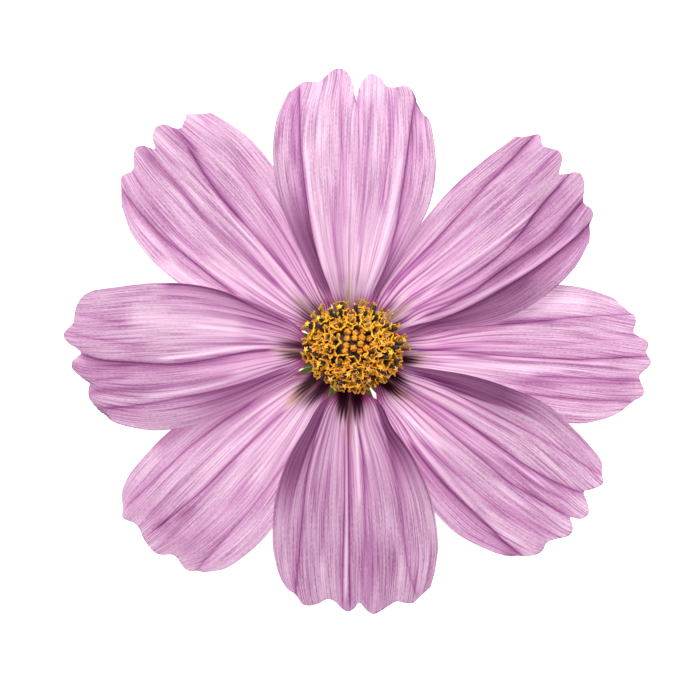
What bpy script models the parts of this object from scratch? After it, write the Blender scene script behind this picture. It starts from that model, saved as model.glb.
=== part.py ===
"""Cosmos flower head, picked just below its calyx and lying face up on a table.

Z = 0 is the table. The head stands on the small flat spot under its receptacle and on the tips
of three drooping petals. Petals are numbered clockwise, seen from above, from the +Y side.
"""

import math
import random

import bmesh
import bpy
from mathutils import Matrix, Vector

MM = 0.001
AXIS = (-1.7 * MM, -2.6 * MM, 0.0)   # where the flower's axis meets the table
ROUGHNESS = 0.6

# Petals
CLAW_START = 4.6          # distance of a petal's root from the axis
BLADE_THICK = 0.6
LIFT_OVER = 0.75          # how far a margin rises where it lies over its neighbour
LIFT_UNDER = -0.60        # and how far it dips where it lies under it

# Height of the blade's middle at the claw, the height its arch is drawn towards, and at the tip
LAYERS = {
    "low": (5.4, 8.0, 0.66),
    "mid": (5.5, 8.8, 1.8),
    "high": (5.6, 9.6, 2.8),
}

# Disc of florets: a dome on a neck, with buds in the middle and open florets around them
DISC_SHIFT = (0.4 * MM, -0.2 * MM, 0.0)   # the dome stands a little off the flower's axis
DISC_SQUASH = 0.9                         # and is a little narrower from petal 1 to petal 5
CORE_NECK_R, CORE_WAIST_R = 3.7, 4.8
CORE_R = 5.5
CORE_LOW, CORE_NECK, CORE_FLARE, CORE_TOP = 5.0, 6.9, 7.5, 10.9
CORE_RIM_RISE = 0.8
DOME_SHARES = (1.0, 0.8, 0.55, 0.28)
RIM_LEAN = 62.0           # how far a floret at the rim leans outwards, in degrees
FLORETS, BUDS = 74, 16
GOLDEN_ANGLE = 137.508
FLORET_LONG, FLORET_FOOT = 1.5, 0.5
TUBE_R, VALLEY_R, LOBE_REACH = 0.30, 0.40, (0.72, 0.88)
VALLEY_SHARE, THROAT_SHARE = 0.62, 0.45
LOBES = 5
COLUMN_R = (0.26, 0.15)
COLUMN_PROUD = 0.25
BUD_R, BUD_RISE = 0.52, 0.2
TURNED_STEPS = 24

# Calyx
SPOT_R = 1.4
CUP = ((SPOT_R, 0.0), (2.3, 0.5), (3.2, 1.7), (3.9, 3.0), (4.1, 4.6))
INNER_RING = (4.5, 5.3, 3.9, 4.5)   # inner radius, outer radius, bottom, top
RING_STEPS = 32
# Bracts, as stations of (distance out, half width, height), and how far their middle sinks
OUTER_BRACT = ((3.0, 1.0, 2.5), (4.4, 1.1, 2.85), (6.0, 0.9, 3.2), (7.2, 0.6, 3.5), (8.0, 0.3, 3.7))
INNER_BRACT = ((4.9, 1.7, 4.2), (6.2, 2.1, 4.3), (7.8, 1.9, 4.45), (9.3, 1.1, 4.65), (10.6, 0.3, 4.85))
BRACT_THICK = 0.6
BRACT_KEEL = 0.1

# Each petal: its direction, its layer, whether each margin lies over (1) or under (-1) its
# neighbour, and its outline and folds as (across, outwards) in millimetres. "left" is the
# anticlockwise side. A fold is (depth, reach to the left, reach to the right, path).
PETALS = {
    "petal_1": dict(
        angle=89.0, layer="high", over=(1, 1),
        left=((-1.2, 4.6), (-1.9, 5.6), (-3.1, 6.6), (-4.0, 8.0), (-5.4, 10.5), (-7.5, 14.5),
              (-9.45, 19.5), (-10.5, 25.0), (-10.2, 30.5), (-8.7, 34.8)),
        tip=((-8.0, 35.4), (-7.2, 36.2), (-6.4, 36.7), (-5.0, 36.75), (-4.2, 37.1), (-3.5, 37.9),
             (-2.7, 38.7), (-1.7, 39.1), (-0.7, 38.5), (-0.1, 37.3), (0.15, 35.7), (0.4, 34.0),
             (0.75, 35.8), (1.3, 37.3), (2.4, 38.4), (3.6, 37.9), (4.5, 36.6), (5.6, 36.4),
             (6.9, 36.6), (7.7, 36.2), (8.1, 34.7), (8.7, 33.4)),
        right=((1.2, 4.6), (2.1, 5.6), (3.3, 6.6), (4.0, 8.0), (5.5, 10.5), (7.7, 14.5),
               (10.1, 19.5), (10.95, 25.0), (10.4, 30.5), (9.8, 31.7)),
        folds=((0.35, 1.6, 0.6, ((-2.5, 7.3), (-4.4, 12.5), (-6.0, 20.0), (-6.9, 28.0), (-7.1, 36.0))),
               (0.20, 0.8, 0.9, ((-1.9, 11.0), (-2.4, 16.0), (-2.7, 22.0), (-3.4, 36.0))),
               (0.25, 0.9, 0.9, ((0.7, 18.0), (0.8, 26.0), (0.5, 34.6))),
               (0.20, 0.8, 0.8, ((0.9, 14.0), (1.6, 22.0), (2.1, 29.0), (2.5, 36.0))),
               (0.25, 1.0, 1.0, ((3.3, 14.0), (4.2, 22.0), (4.9, 29.0), (5.0, 37.0))),
               (0.35, 0.6, 1.8, ((2.6, 7.0), (5.0, 13.0), (6.3, 20.0), (7.2, 27.0), (8.2, 35.0)))),
    ),
    "petal_2": dict(
        angle=39.0, layer="mid", over=(-1, 1),
        left=((-1.2, 4.6), (-1.8, 5.6), (-3.0, 6.6), (-4.0, 8.0), (-5.1, 10.5), (-6.4, 14.5),
              (-7.7, 19.5), (-8.8, 25.0), (-9.2, 30.5), (-9.4, 36.6)),
        tip=((-8.8, 37.25), (-8.3, 38.65), (-7.7, 39.5), (-7.0, 39.15), (-6.2, 38.75), (-5.4, 39.35),
             (-4.5, 40.05), (-3.5, 39.85), (-2.5, 38.75), (-1.9, 37.8), (-1.4, 38.45), (-0.9, 39.75),
             (-0.1, 40.35), (0.8, 40.05), (1.8, 39.25), (2.7, 38.25), (3.4, 37.8), (4.5, 38.05),
             (5.4, 37.65), (6.1, 36.45), (7.3, 35.35)),
        right=((1.2, 4.6), (1.7, 5.6), (2.3, 6.6), (3.2, 8.0), (5.0, 10.5), (7.5, 14.5),
               (9.6, 19.5), (10.2, 25.0), (9.6, 30.5), (8.0, 34.6)),
        folds=((0.40, 0.6, 1.3, ((-2.6, 8.5), (-3.4, 12.0), (-4.6, 18.0), (-6.0, 27.0), (-8.1, 38.5))),
               (0.20, 0.7, 0.9, ((-1.0, 12.0), (-1.2, 18.0), (-2.2, 27.0), (-4.4, 40.0))),
               (0.40, 0.5, 1.5, ((1.0, 11.0), (2.0, 18.0), (2.2, 25.0), (1.0, 32.0), (-1.0, 39.5))),
               (0.20, 0.8, 0.8, ((3.2, 15.0), (4.0, 24.0), (3.0, 37.0))),
               (0.40, 0.6, 1.6, ((2.2, 8.0), (4.4, 13.0), (5.9, 20.0), (6.5, 28.0), (6.1, 36.5)))),
    ),
    "petal_3": dict(
        angle=-1.5, layer="low", over=(-1, -1),
        left=((-1.2, 4.6), (-1.7, 5.6), (-2.5, 6.6), (-3.4, 8.0), (-4.7, 10.5), (-6.8, 14.5),
              (-8.8, 19.5), (-10.2, 25.0), (-10.4, 30.5), (-9.6, 34.9)),
        tip=((-8.9, 35.9), (-8.0, 37.1), (-7.5, 38.0), (-6.5, 38.25), (-5.2, 37.9), (-4.7, 38.5),
             (-4.2, 39.8), (-3.3, 40.0), (-2.7, 39.7), (-2.0, 40.1), (-1.3, 40.4), (-0.5, 39.95),
             (0.3, 39.1), (0.9, 38.75), (1.8, 39.1), (2.7, 39.5), (3.5, 39.1), (4.1, 38.1),
             (5.2, 36.9), (6.1, 35.8)),
        right=((1.2, 4.6), (1.7, 5.6), (2.4, 6.6), (3.0, 8.0), (3.8, 10.5), (5.2, 14.5),
               (6.7, 19.5), (7.75, 25.0), (7.9, 30.5), (7.0, 34.0)),
        folds=((0.35, 0.6, 1.2, ((-2.4, 8.5), (-4.0, 16.0), (-5.0, 23.0), (-6.3, 30.0), (-7.6, 37.8))),
               (0.20, 0.8, 0.8, ((-1.6, 11.0), (-2.1, 24.0), (-2.9, 31.0), (-4.3, 38.5))),
               (0.40, 0.9, 0.6, ((-0.5, 11.0), (-0.4, 22.0), (-0.8, 31.0), (-2.1, 39.8))),
               (0.25, 0.7, 1.2, ((2.0, 20.0), (2.2, 28.0), (1.7, 33.0), (1.1, 38.6))),
               (0.35, 0.7, 0.9, ((3.6, 12.0), (4.4, 20.0), (4.7, 28.0), (4.2, 37.8)))),
    ),
    "petal_4": dict(
        angle=-36.0, layer="mid", over=(1, -1),
        left=((-1.2, 4.6), (-1.7, 5.6), (-2.6, 6.6), (-3.2, 8.0), (-4.5, 10.5), (-6.5, 14.5),
              (-8.3, 19.5), (-9.6, 25.0), (-9.3, 30.5), (-8.75, 34.2)),
        tip=((-8.3, 35.1), (-7.3, 35.9), (-6.5, 36.7), (-5.8, 36.6), (-4.8, 36.0), (-3.9, 35.4),
             (-3.1, 36.6), (-2.4, 37.4), (-1.8, 37.55), (-0.8, 37.0), (-0.15, 35.9), (0.5, 36.8),
             (1.2, 37.2), (2.1, 37.0), (3.3, 36.0), (4.4, 35.35), (5.6, 35.5), (6.7, 35.0),
             (7.7, 33.9)),
        right=((1.2, 4.6), (1.8, 5.6), (2.9, 6.6), (4.1, 8.0), (5.5, 10.5), (8.0, 14.5),
               (10.0, 19.5), (10.95, 25.0), (9.8, 30.5), (8.8, 32.3)),
        folds=((0.30, 0.8, 0.9, ((-2.4, 8.5), (-3.6, 15.0), (-5.0, 23.0), (-6.2, 30.0), (-7.0, 35.8))),
               (0.40, 0.6, 1.0, ((-0.7, 10.0), (-1.4, 18.0), (-1.7, 27.0), (-3.7, 35.3))),
               (0.35, 0.9, 0.6, ((0.7, 11.0), (1.2, 20.0), (1.3, 28.0), (0.0, 35.0))),
               (0.25, 0.9, 0.9, ((4.1, 14.0), (4.9, 24.0), (4.2, 34.8))),
               (0.35, 0.6, 1.4, ((4.9, 13.0), (6.5, 19.0), (7.5, 27.0), (7.7, 33.6)))),
    ),
    "petal_5": dict(
        angle=-89.0, layer="high", over=(1, 1),
        left=((-1.2, 4.6), (-1.8, 5.6), (-3.1, 6.6), (-4.2, 8.0), (-5.4, 10.5), (-8.0, 14.5),
              (-10.1, 19.5), (-11.0, 25.0), (-10.7, 28.5), (-10.1, 30.8)),
        tip=((-9.3, 31.5), (-8.5, 32.2), (-7.8, 32.75), (-6.8, 32.7), (-5.8, 32.5), (-4.9, 32.9),
             (-3.8, 33.6), (-2.8, 34.0), (-1.9, 33.5), (-0.95, 32.6), (-0.3, 33.3), (0.5, 33.65),
             (1.3, 33.3), (2.2, 32.45), (3.2, 32.15), (4.4, 32.7), (5.6, 32.95), (6.5, 32.7),
             (7.3, 31.6), (8.3, 31.0)),
        right=((1.2, 4.6), (1.7, 5.6), (3.3, 6.6), (4.5, 8.0), (5.9, 10.5), (8.2, 14.5),
               (9.9, 19.5), (10.3, 25.0), (9.75, 28.4), (9.1, 30.0)),
        folds=((0.30, 0.7, 1.1, ((-3.0, 9.0), (-4.9, 15.0), (-6.5, 22.0), (-7.2, 28.0), (-8.3, 32.0))),
               (0.25, 1.4, 0.8, ((-1.4, 14.0), (-1.7, 22.0), (-1.8, 32.5))),
               (0.40, 0.8, 0.5, ((0.3, 10.0), (0.4, 20.0), (0.2, 32.5))),
               (0.20, 0.4, 1.0, ((0.9, 13.0), (1.2, 24.0), (1.3, 32.5))),
               (0.25, 1.0, 1.0, ((3.0, 15.0), (4.0, 24.0), (3.4, 32.0))),
               (0.35, 0.6, 1.6, ((3.5, 8.0), (5.0, 13.0), (6.2, 20.0), (7.0, 28.0), (7.3, 31.5)))),
    ),
    "petal_6": dict(
        angle=-134.0, layer="low", over=(-1, -1),
        left=((-1.2, 4.6), (-1.7, 5.6), (-2.5, 6.6), (-3.3, 8.0), (-4.5, 10.5), (-6.5, 14.5),
              (-8.3, 19.5), (-9.2, 25.0), (-8.5, 30.5), (-6.6, 33.3)),
        tip=((-5.7, 33.8), (-4.9, 34.55), (-3.8, 34.6), (-2.6, 34.4), (-1.8, 34.7), (-1.0, 35.5),
             (-0.1, 35.85), (1.0, 35.8), (2.2, 35.6), (3.3, 35.1), (4.3, 35.0), (5.2, 35.3),
             (6.1, 35.5), (6.8, 34.7), (7.9, 33.8)),
        right=((1.2, 4.6), (1.7, 5.6), (2.5, 6.6), (3.5, 8.0), (4.9, 10.5), (6.9, 14.5),
               (8.6, 19.5), (9.4, 25.0), (9.3, 30.5), (8.6, 33.0)),
        folds=((0.30, 0.9, 0.7, ((-2.6, 9.0), (-4.6, 17.0), (-5.4, 26.0), (-5.6, 34.0))),
               (0.25, 1.0, 1.0, ((-1.8, 13.0), (-3.0, 22.0), (-3.1, 28.0), (-2.7, 34.0))),
               (0.35, 0.7, 0.7, ((0.4, 11.0), (0.6, 18.0), (1.0, 28.0), (1.9, 33.5))),
               (0.20, 1.0, 1.0, ((2.2, 14.0), (3.2, 24.0), (3.6, 34.5))),
               (0.30, 0.8, 0.8, ((4.1, 13.0), (5.6, 21.0), (6.2, 27.0), (6.5, 34.0)))),
    ),
    "petal_7": dict(
        angle=180.0, layer="high", over=(1, 1),
        left=((-1.2, 4.6), (-1.7, 5.6), (-2.7, 6.6), (-3.6, 8.0), (-5.3, 10.5), (-8.1, 14.5),
              (-10.2, 19.5), (-11.05, 25.0), (-10.0, 29.9), (-8.5, 31.5)),
        tip=((-7.8, 32.2), (-7.3, 33.0), (-6.4, 33.6), (-5.2, 33.65), (-4.4, 33.5), (-3.8, 34.2),
             (-3.1, 35.2), (-2.3, 35.85), (-1.4, 35.85), (-0.8, 35.2), (-0.3, 34.7), (0.4, 35.4),
             (1.2, 36.5), (2.2, 37.05), (3.0, 36.6), (3.7, 35.8), (5.0, 35.65), (6.2, 35.25),
             (7.2, 34.5)),
        right=((1.2, 4.6), (1.7, 5.6), (2.9, 6.6), (3.9, 8.0), (5.1, 10.5), (6.7, 14.5),
               (8.0, 19.5), (8.45, 25.0), (8.05, 30.5), (7.8, 33.2)),
        folds=((0.40, 1.3, 0.6, ((-2.3, 7.7), (-4.3, 13.0), (-6.2, 20.0), (-7.5, 27.0), (-7.9, 32.0))),
               (0.25, 1.0, 1.0, ((-3.6, 15.0), (-5.0, 22.0), (-5.4, 28.0), (-5.6, 33.5))),
               (0.40, 1.1, 0.5, ((-0.2, 12.0), (-1.9, 20.0), (-2.0, 26.0), (-1.4, 31.5), (-0.4, 34.6))),
               (0.25, 0.9, 0.8, ((0.3, 24.0), (0.9, 30.0), (2.6, 36.4))),
               (0.20, 0.9, 0.9, ((3.2, 12.0), (4.6, 20.0), (4.6, 28.0), (4.6, 35.5))),
               (0.25, 0.9, 0.9, ((5.6, 15.0), (6.9, 21.0), (7.2, 28.0)))),
    ),
    "petal_8": dict(
        angle=133.5, layer="low", over=(-1, -1),
        left=((-1.2, 4.6), (-1.7, 5.6), (-2.6, 6.6), (-3.7, 8.0), (-5.5, 10.5), (-7.6, 14.5),
              (-9.5, 19.5), (-10.3, 25.0), (-9.8, 30.5), (-8.0, 34.7)),
        tip=((-7.3, 35.6), (-6.3, 36.7), (-5.6, 37.6), (-4.8, 38.0), (-4.0, 37.75), (-3.3, 37.65),
             (-2.4, 38.4), (-1.5, 39.4), (-0.7, 39.7), (0.1, 39.1), (0.75, 37.75), (1.4, 38.8),
             (2.2, 39.65), (3.2, 40.0), (4.2, 39.5), (4.8, 38.1), (5.4, 37.6), (6.3, 38.0),
             (7.3, 38.5), (8.1, 37.7), (9.0, 36.9)),
        right=((1.2, 4.6), (1.9, 5.6), (2.8, 6.6), (3.3, 8.0), (4.6, 10.5), (6.6, 14.5),
               (8.8, 19.5), (10.1, 25.0), (10.6, 30.5), (9.7, 36.3)),
        folds=((0.40, 1.3, 0.5, ((-4.4, 12.0), (-6.2, 19.5), (-6.8, 25.0), (-7.0, 30.0), (-6.2, 37.0))),
               (0.25, 1.0, 1.0, ((-4.0, 15.0), (-5.2, 23.0), (-5.1, 29.0), (-3.6, 38.0))),
               (0.25, 0.9, 0.9, ((-1.0, 14.0), (-1.4, 24.0), (-0.9, 31.0), (-0.4, 39.5))),
               (0.40, 0.6, 1.0, ((0.9, 10.0), (1.6, 20.0), (2.2, 28.5), (3.4, 33.0), (4.3, 39.0))),
               (0.30, 0.8, 0.8, ((3.6, 13.0), (5.4, 22.0), (6.8, 28.5), (7.9, 37.8)))),
    ),
}


def clear_scene():
    for obj in list(bpy.data.objects):
        bpy.data.objects.remove(obj, do_unlink=True)


def new_collection(name, helper=False):
    collection = bpy.data.collections.new(name)
    bpy.context.scene.collection.children.link(collection)
    collection.hide_render = helper
    return collection


def material(name, colour):
    mat = bpy.data.materials.new(name)
    mat.use_nodes = True
    shader = mat.node_tree.nodes["Principled BSDF"]
    shader.inputs["Base Color"].default_value = (*colour, 1.0)
    shader.inputs["Roughness"].default_value = ROUGHNESS
    return mat


def add_object(name, mesh_data, collection, mat):
    """A new object from a bmesh in millimetres."""
    mesh_data.transform(Matrix.Scale(MM, 4))
    mesh = bpy.data.meshes.new(name)
    mesh_data.to_mesh(mesh)
    mesh_data.free()
    mesh.materials.append(mat)
    obj = bpy.data.objects.new(name, mesh)
    obj.location = AXIS
    collection.objects.link(obj)
    mesh.shade_smooth()
    return obj


def smoothstep(low, high, x):
    t = min(max((x - low) / (high - low), 0.0), 1.0)
    return t * t * (3.0 - 2.0 * t)


def across_at(path, out):
    """The across value of a path of (across, outwards) points at this distance outwards."""
    if out <= path[0][1]:
        return path[0][0]
    for (a0, v0), (a1, v1) in zip(path, path[1:]):
        if out <= v1:
            return a0 + (a1 - a0) * (out - v0) / (v1 - v0)
    return path[-1][0]


def fold_depth(fold, u, v):
    """How far a fold sinks the blade here: a crease that rises again on both sides."""
    depth, reach_left, reach_right, path = fold
    offset = u - across_at(path, v)
    reach = reach_left if offset < 0 else reach_right
    fade = smoothstep(path[0][1] - 1.0, path[0][1] + 5.0, v) * smoothstep(7.0, 12.0, v)
    return depth * fade * math.exp(-abs(offset) / reach)


def blade_height(petal, u, v):
    length = max(point[1] for point in petal["tip"])
    start, bow, end = LAYERS[petal["layer"]]
    w = min(max((v - CLAW_START) / (length - CLAW_START), 0.0), 1.0)
    height = (1 - w) ** 2 * start + 2 * w * (1 - w) * bow + w * w * end
    side = 0 if u < 0 else 1
    edge = abs(across_at(petal["right" if side else "left"], v))
    lift = LIFT_OVER if petal["over"][side] > 0 else LIFT_UNDER
    height += lift * min(abs(u) / edge, 1.0) ** 1.6 * smoothstep(5.3, 7.2, v)
    return height - sum(fold_depth(fold, u, v) for fold in petal["folds"])


def blade_points(petal):
    """Rows of (across, outwards) points: the outline carried inwards to the claw."""
    tip = (petal["left"][-1],) + petal["tip"] + (petal["right"][-1],)
    root_left, root_right = petal["left"][0], petal["right"][0]
    rows = []
    for j in range(len(petal["left"])):
        left, right = petal["left"][j], petal["right"][j]
        t_left = (left[1] - CLAW_START) / (tip[0][1] - CLAW_START)
        t_right = (right[1] - CLAW_START) / (tip[-1][1] - CLAW_START)
        row = []
        for point in tip:
            s = (point[0] - tip[0][0]) / (tip[-1][0] - tip[0][0])
            t = (1 - s) * t_left + s * t_right
            chord = [(1 - s) * tip[0][k] + s * tip[-1][k] for k in (0, 1)]
            inner = [(1 - s) * left[k] + s * right[k] for k in (0, 1)]
            row.append([inner[k] + t ** 2 * (point[k] - chord[k]) for k in (0, 1)])
        rows.append(row)
    rows[0] = [[root_left[0] + (root_right[0] - root_left[0]) * i / (len(tip) - 1), CLAW_START]
               for i in range(len(tip))]
    return rows


def make_petal(name, petal, collection, mat):
    rows = blade_points(petal)
    across = len(rows[0])
    mesh = bmesh.new()
    bmesh.ops.create_grid(mesh, x_segments=across - 1, y_segments=len(rows) - 1, size=1.0)
    mesh.verts.ensure_lookup_table()
    angle = math.radians(petal["angle"])
    outward = Vector((math.cos(angle), math.sin(angle), 0.0))
    sideways = Vector((math.sin(angle), -math.cos(angle), 0.0))
    for vert in mesh.verts:
        i = round((vert.co.x + 1.0) / 2.0 * (across - 1))
        j = round((vert.co.y + 1.0) / 2.0 * (len(rows) - 1))
        u, v = rows[j][i]
        vert.co = sideways * u + outward * v + Vector((0.0, 0.0, blade_height(petal, u, v)))
    bmesh.ops.triangulate(mesh, faces=mesh.faces[:])
    obj = add_object(name, mesh, collection, mat)
    solid = obj.modifiers.new("Blade", "SOLIDIFY")
    solid.thickness = BLADE_THICK * MM
    solid.offset = 0.0
    return obj


def make_turned(name, profile, collection, mat):
    """A solid turned about the axis from (radius, height) points, closed at both ends."""
    line = [(0.0, profile[0][1])] + list(profile)
    if profile[-1][0] > 0.0:
        line.append((0.0, profile[-1][1]))
    mesh = bmesh.new()
    verts = [mesh.verts.new((radius, 0.0, height)) for radius, height in line]
    for low, high in zip(verts, verts[1:]):
        mesh.edges.new((low, high))
    body = add_object(name, mesh, collection, mat)
    screw = body.modifiers.new("Turn", "SCREW")
    screw.steps = screw.render_steps = TURNED_STEPS
    screw.use_merge_vertices = True
    screw.merge_threshold = 0.01 * MM
    screw.use_smooth_shade = True
    return body


def floret_mesh(reach, long):
    """An open floret: a tube that flares into pointed lobes round a hollow throat."""
    mesh = bmesh.new()
    base = bmesh.ops.create_circle(mesh, segments=2 * LOBES, radius=TUBE_R, cap_ends=True)["verts"]
    bmesh.ops.translate(mesh, verts=base, vec=(0.0, 0.0, -FLORET_FOOT))
    grown = bmesh.ops.extrude_edge_only(mesh, edges=mesh.edges[:])["geom"]
    rim = [item for item in grown if isinstance(item, bmesh.types.BMVert)]
    rim_edges = [item for item in grown if isinstance(item, bmesh.types.BMEdge)]
    for vert in rim:
        angle = math.atan2(vert.co.y, vert.co.x)
        is_lobe = math.cos(LOBES * (angle + math.pi / 2)) > 0.0
        radius = reach if is_lobe else VALLEY_R
        vert.co = Vector((radius * math.cos(angle), radius * math.sin(angle),
                          long if is_lobe else long * VALLEY_SHARE))
    lid = bmesh.ops.contextual_create(mesh, geom=rim_edges)["faces"]
    throat = bmesh.ops.poke(mesh, faces=lid)["verts"][0]
    throat.co = Vector((0.0, 0.0, long * THROAT_SHARE))
    bmesh.ops.recalc_face_normals(mesh, faces=mesh.faces[:])
    return mesh


def column_mesh(long):
    """The anther column of a floret, standing out of its throat."""
    mesh = bmesh.new()
    bmesh.ops.create_cone(mesh, cap_ends=True, segments=LOBES, radius1=COLUMN_R[0],
                          radius2=COLUMN_R[1], depth=long)
    bmesh.ops.translate(mesh, verts=mesh.verts[:], vec=(0.0, 0.0, long / 2))
    return mesh


def dome_point(turn, radius):
    """The point of the disc's dome at this radius, and the way a floret there leans."""
    share = radius / CORE_R
    height = CORE_TOP - (CORE_TOP - CORE_FLARE - CORE_RIM_RISE) * share ** 2.4
    lean = math.radians(RIM_LEAN) * share ** 1.7
    direction = Vector((math.sin(lean) * math.cos(turn), math.sin(lean) * math.sin(turn),
                        math.cos(lean)))
    return Vector((radius * math.cos(turn), radius * math.sin(turn), height)), direction


def stand(mesh, foot, direction, roll):
    turn = direction.to_track_quat("Z", "Y").to_matrix().to_4x4()
    mesh.transform(Matrix.Translation(foot) @ turn @ Matrix.Rotation(roll, 4, "Z"))
    return mesh


def make_disc(collection, helpers, mat):
    """The core, and the florets set on it by the golden angle, all one solid."""
    draw = random.Random(11)
    profile = [(CORE_NECK_R, CORE_LOW), (CORE_NECK_R, CORE_NECK), (CORE_WAIST_R, CORE_FLARE)]
    for share in DOME_SHARES:
        point, _ = dome_point(0.0, share * CORE_R)
        profile.append((point.x, point.z))
    disc = make_turned("disc_florets", profile, collection, mat)
    for n in range(FLORETS + BUDS):
        turn = math.radians(GOLDEN_ANGLE * n)
        radius = (CORE_R - 0.2) * math.sqrt((n + 0.5) / (FLORETS + BUDS))
        foot, direction = dome_point(turn, radius)
        if n < BUDS:
            bud = bmesh.new()
            bmesh.ops.create_icosphere(bud, subdivisions=1, radius=BUD_R)
            stand(bud, foot + direction * BUD_RISE, direction, 0.0)
            add_object(f"bud_{n}", bud, helpers, mat)
            continue
        long = FLORET_LONG * draw.uniform(0.85, 1.1)
        roll = draw.uniform(0.0, math.tau)
        star = stand(floret_mesh(draw.uniform(*LOBE_REACH), long), foot, direction, roll)
        add_object(f"floret_{n}", star, helpers, mat)
        if n % 2:
            column = stand(column_mesh(long + COLUMN_PROUD), foot, direction, roll)
            add_object(f"column_{n}", column, helpers, mat)
    fuse(disc, helpers)
    disc.location = disc.location + Vector(DISC_SHIFT)
    disc.scale.y = DISC_SQUASH
    return disc


def make_bract(name, angle, stations, collection, mat):
    """A pointed bract lying outwards in this direction, from its stations."""
    mesh = bmesh.new()
    rows = len(stations)
    bmesh.ops.create_grid(mesh, x_segments=2, y_segments=rows - 1, size=1.0)
    out = Vector((math.cos(angle), math.sin(angle), 0.0))
    sideways = Vector((math.sin(angle), -math.cos(angle), 0.0))
    for vert in mesh.verts:
        side = round(vert.co.x)
        distance, half, height = stations[round((vert.co.y + 1.0) / 2.0 * (rows - 1))]
        sink = BRACT_KEEL * half if side == 0 else 0.0
        vert.co = out * distance + sideways * side * half + Vector((0.0, 0.0, height - sink))
    bmesh.ops.triangulate(mesh, faces=mesh.faces[:])
    bract = add_object(name, mesh, collection, mat)
    solid = bract.modifiers.new("Leaf", "SOLIDIFY")
    solid.thickness = BRACT_THICK * MM
    solid.offset = 0.0
    return bract


def make_receptacle(collection, helpers, mat):
    """The green cup with its narrow outer bracts, which alternate with the petals."""
    receptacle = make_turned("receptacle", CUP, collection, mat)
    angles = [petal["angle"] for petal in PETALS.values()]
    for i, (angle, after) in enumerate(zip(angles, angles[1:] + angles[:1])):
        turn = angle + ((after - angle + 180.0) % 360.0 - 180.0) / 2.0
        make_bract(f"outer_bract_{i}", math.radians(turn), OUTER_BRACT, helpers, mat)
    fuse(receptacle, helpers)
    return receptacle


def make_inner_bracts(collection, helpers, mat):
    """The ring of broad papery bracts, one behind each petal."""
    inner, outer, low, high = INNER_RING
    ring = bmesh.new()
    bmesh.ops.create_cone(ring, cap_ends=True, segments=RING_STEPS, radius1=outer, radius2=outer,
                          depth=high - low)
    bmesh.ops.translate(ring, verts=ring.verts[:], vec=(0.0, 0.0, (low + high) / 2))
    bracts = add_object("inner_bracts", ring, collection, mat)
    for name, petal in PETALS.items():
        make_bract(f"bract_behind_{name}", math.radians(petal["angle"]), INNER_BRACT, helpers, mat)
    fuse(bracts, helpers)
    bore = bmesh.new()
    bmesh.ops.create_cone(bore, cap_ends=True, segments=RING_STEPS, radius1=inner, radius2=inner,
                          depth=4 * high)
    cutter = add_object("ring_bore", bore, helpers, mat)
    cutter.display_type = "WIRE"
    cut = bracts.modifiers.new("Ring bore", "BOOLEAN")
    cut.operation = "DIFFERENCE"
    cut.solver = "EXACT"
    cut.object = cutter
    return bracts


def fuse(body, helpers):
    """Joins every object of the helper collection to the body, and removes them."""
    join = body.modifiers.new("Fuse", "BOOLEAN")
    join.operation = "UNION"
    join.solver = "EXACT"
    join.operand_type = "COLLECTION"
    join.collection = helpers
    bpy.context.view_layer.update()
    bpy.ops.object.select_all(action="DESELECT")
    bpy.context.view_layer.objects.active = body
    body.select_set(True)
    for modifier in list(body.modifiers):
        bpy.ops.object.modifier_apply(modifier=modifier.name)
    for obj in list(helpers.objects):
        bpy.data.objects.remove(obj, do_unlink=True)


def main():
    clear_scene()
    flower = new_collection("cosmos_flower")
    helpers = new_collection("cutters", helper=True)
    pink = material("petal", (0.76, 0.48, 0.68))
    yellow = material("floret", (0.85, 0.48, 0.04))
    green = material("calyx", (0.25, 0.36, 0.10))
    papery = material("bract", (0.42, 0.33, 0.16))
    for name, petal in PETALS.items():
        make_petal(name, petal, flower, pink)
    make_disc(flower, helpers, yellow)
    make_receptacle(flower, helpers, green)
    make_inner_bracts(flower, helpers, papery)


main()
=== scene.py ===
"""Cosmos flower head lying face up: leafy calyx, eight veined petals and a disc of florets."""

import math
import random

import bpy
import numpy as np
from mathutils import Matrix, Vector


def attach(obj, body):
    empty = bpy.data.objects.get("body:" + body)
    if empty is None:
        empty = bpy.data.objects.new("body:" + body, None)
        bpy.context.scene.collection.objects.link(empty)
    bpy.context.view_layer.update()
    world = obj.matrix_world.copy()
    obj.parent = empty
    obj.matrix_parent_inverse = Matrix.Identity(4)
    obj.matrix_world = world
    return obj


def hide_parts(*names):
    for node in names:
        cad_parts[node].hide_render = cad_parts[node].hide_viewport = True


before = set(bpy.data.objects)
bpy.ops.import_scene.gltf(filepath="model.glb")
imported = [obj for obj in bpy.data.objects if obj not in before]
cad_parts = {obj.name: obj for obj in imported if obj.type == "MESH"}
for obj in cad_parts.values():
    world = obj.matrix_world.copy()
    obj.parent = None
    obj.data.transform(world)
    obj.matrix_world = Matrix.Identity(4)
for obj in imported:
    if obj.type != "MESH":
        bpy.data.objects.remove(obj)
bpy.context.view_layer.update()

# Receptacle: the green cup at the top of the stalk that carries everything else. It is firm,
# slightly waxy stem tissue with fine ribs, and was pinched off flat just below the calyx.

MM = 0.001
SPOT_HEIGHT = 0.1       # the flat spot's points are lower than this, in mm
spot = np.array([v.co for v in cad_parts["receptacle"].data.vertices if v.co.z < SPOT_HEIGHT * MM])
AXIS = Vector(((spot[:, 0].min() + spot[:, 0].max()) / 2, (spot[:, 1].min() + spot[:, 1].max()) / 2, 0.0))

CUP = ((1.40, 0.02), (1.85, 0.12), (2.35, 0.55), (3.1, 1.7), (3.75, 2.9), (4.0, 4.3), (3.6, 4.6))
CUP_SIDES = 96
RIBS = 24
RIB_DEPTH = 0.06


def deselect():
    bpy.ops.object.select_all(action="DESELECT")


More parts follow.
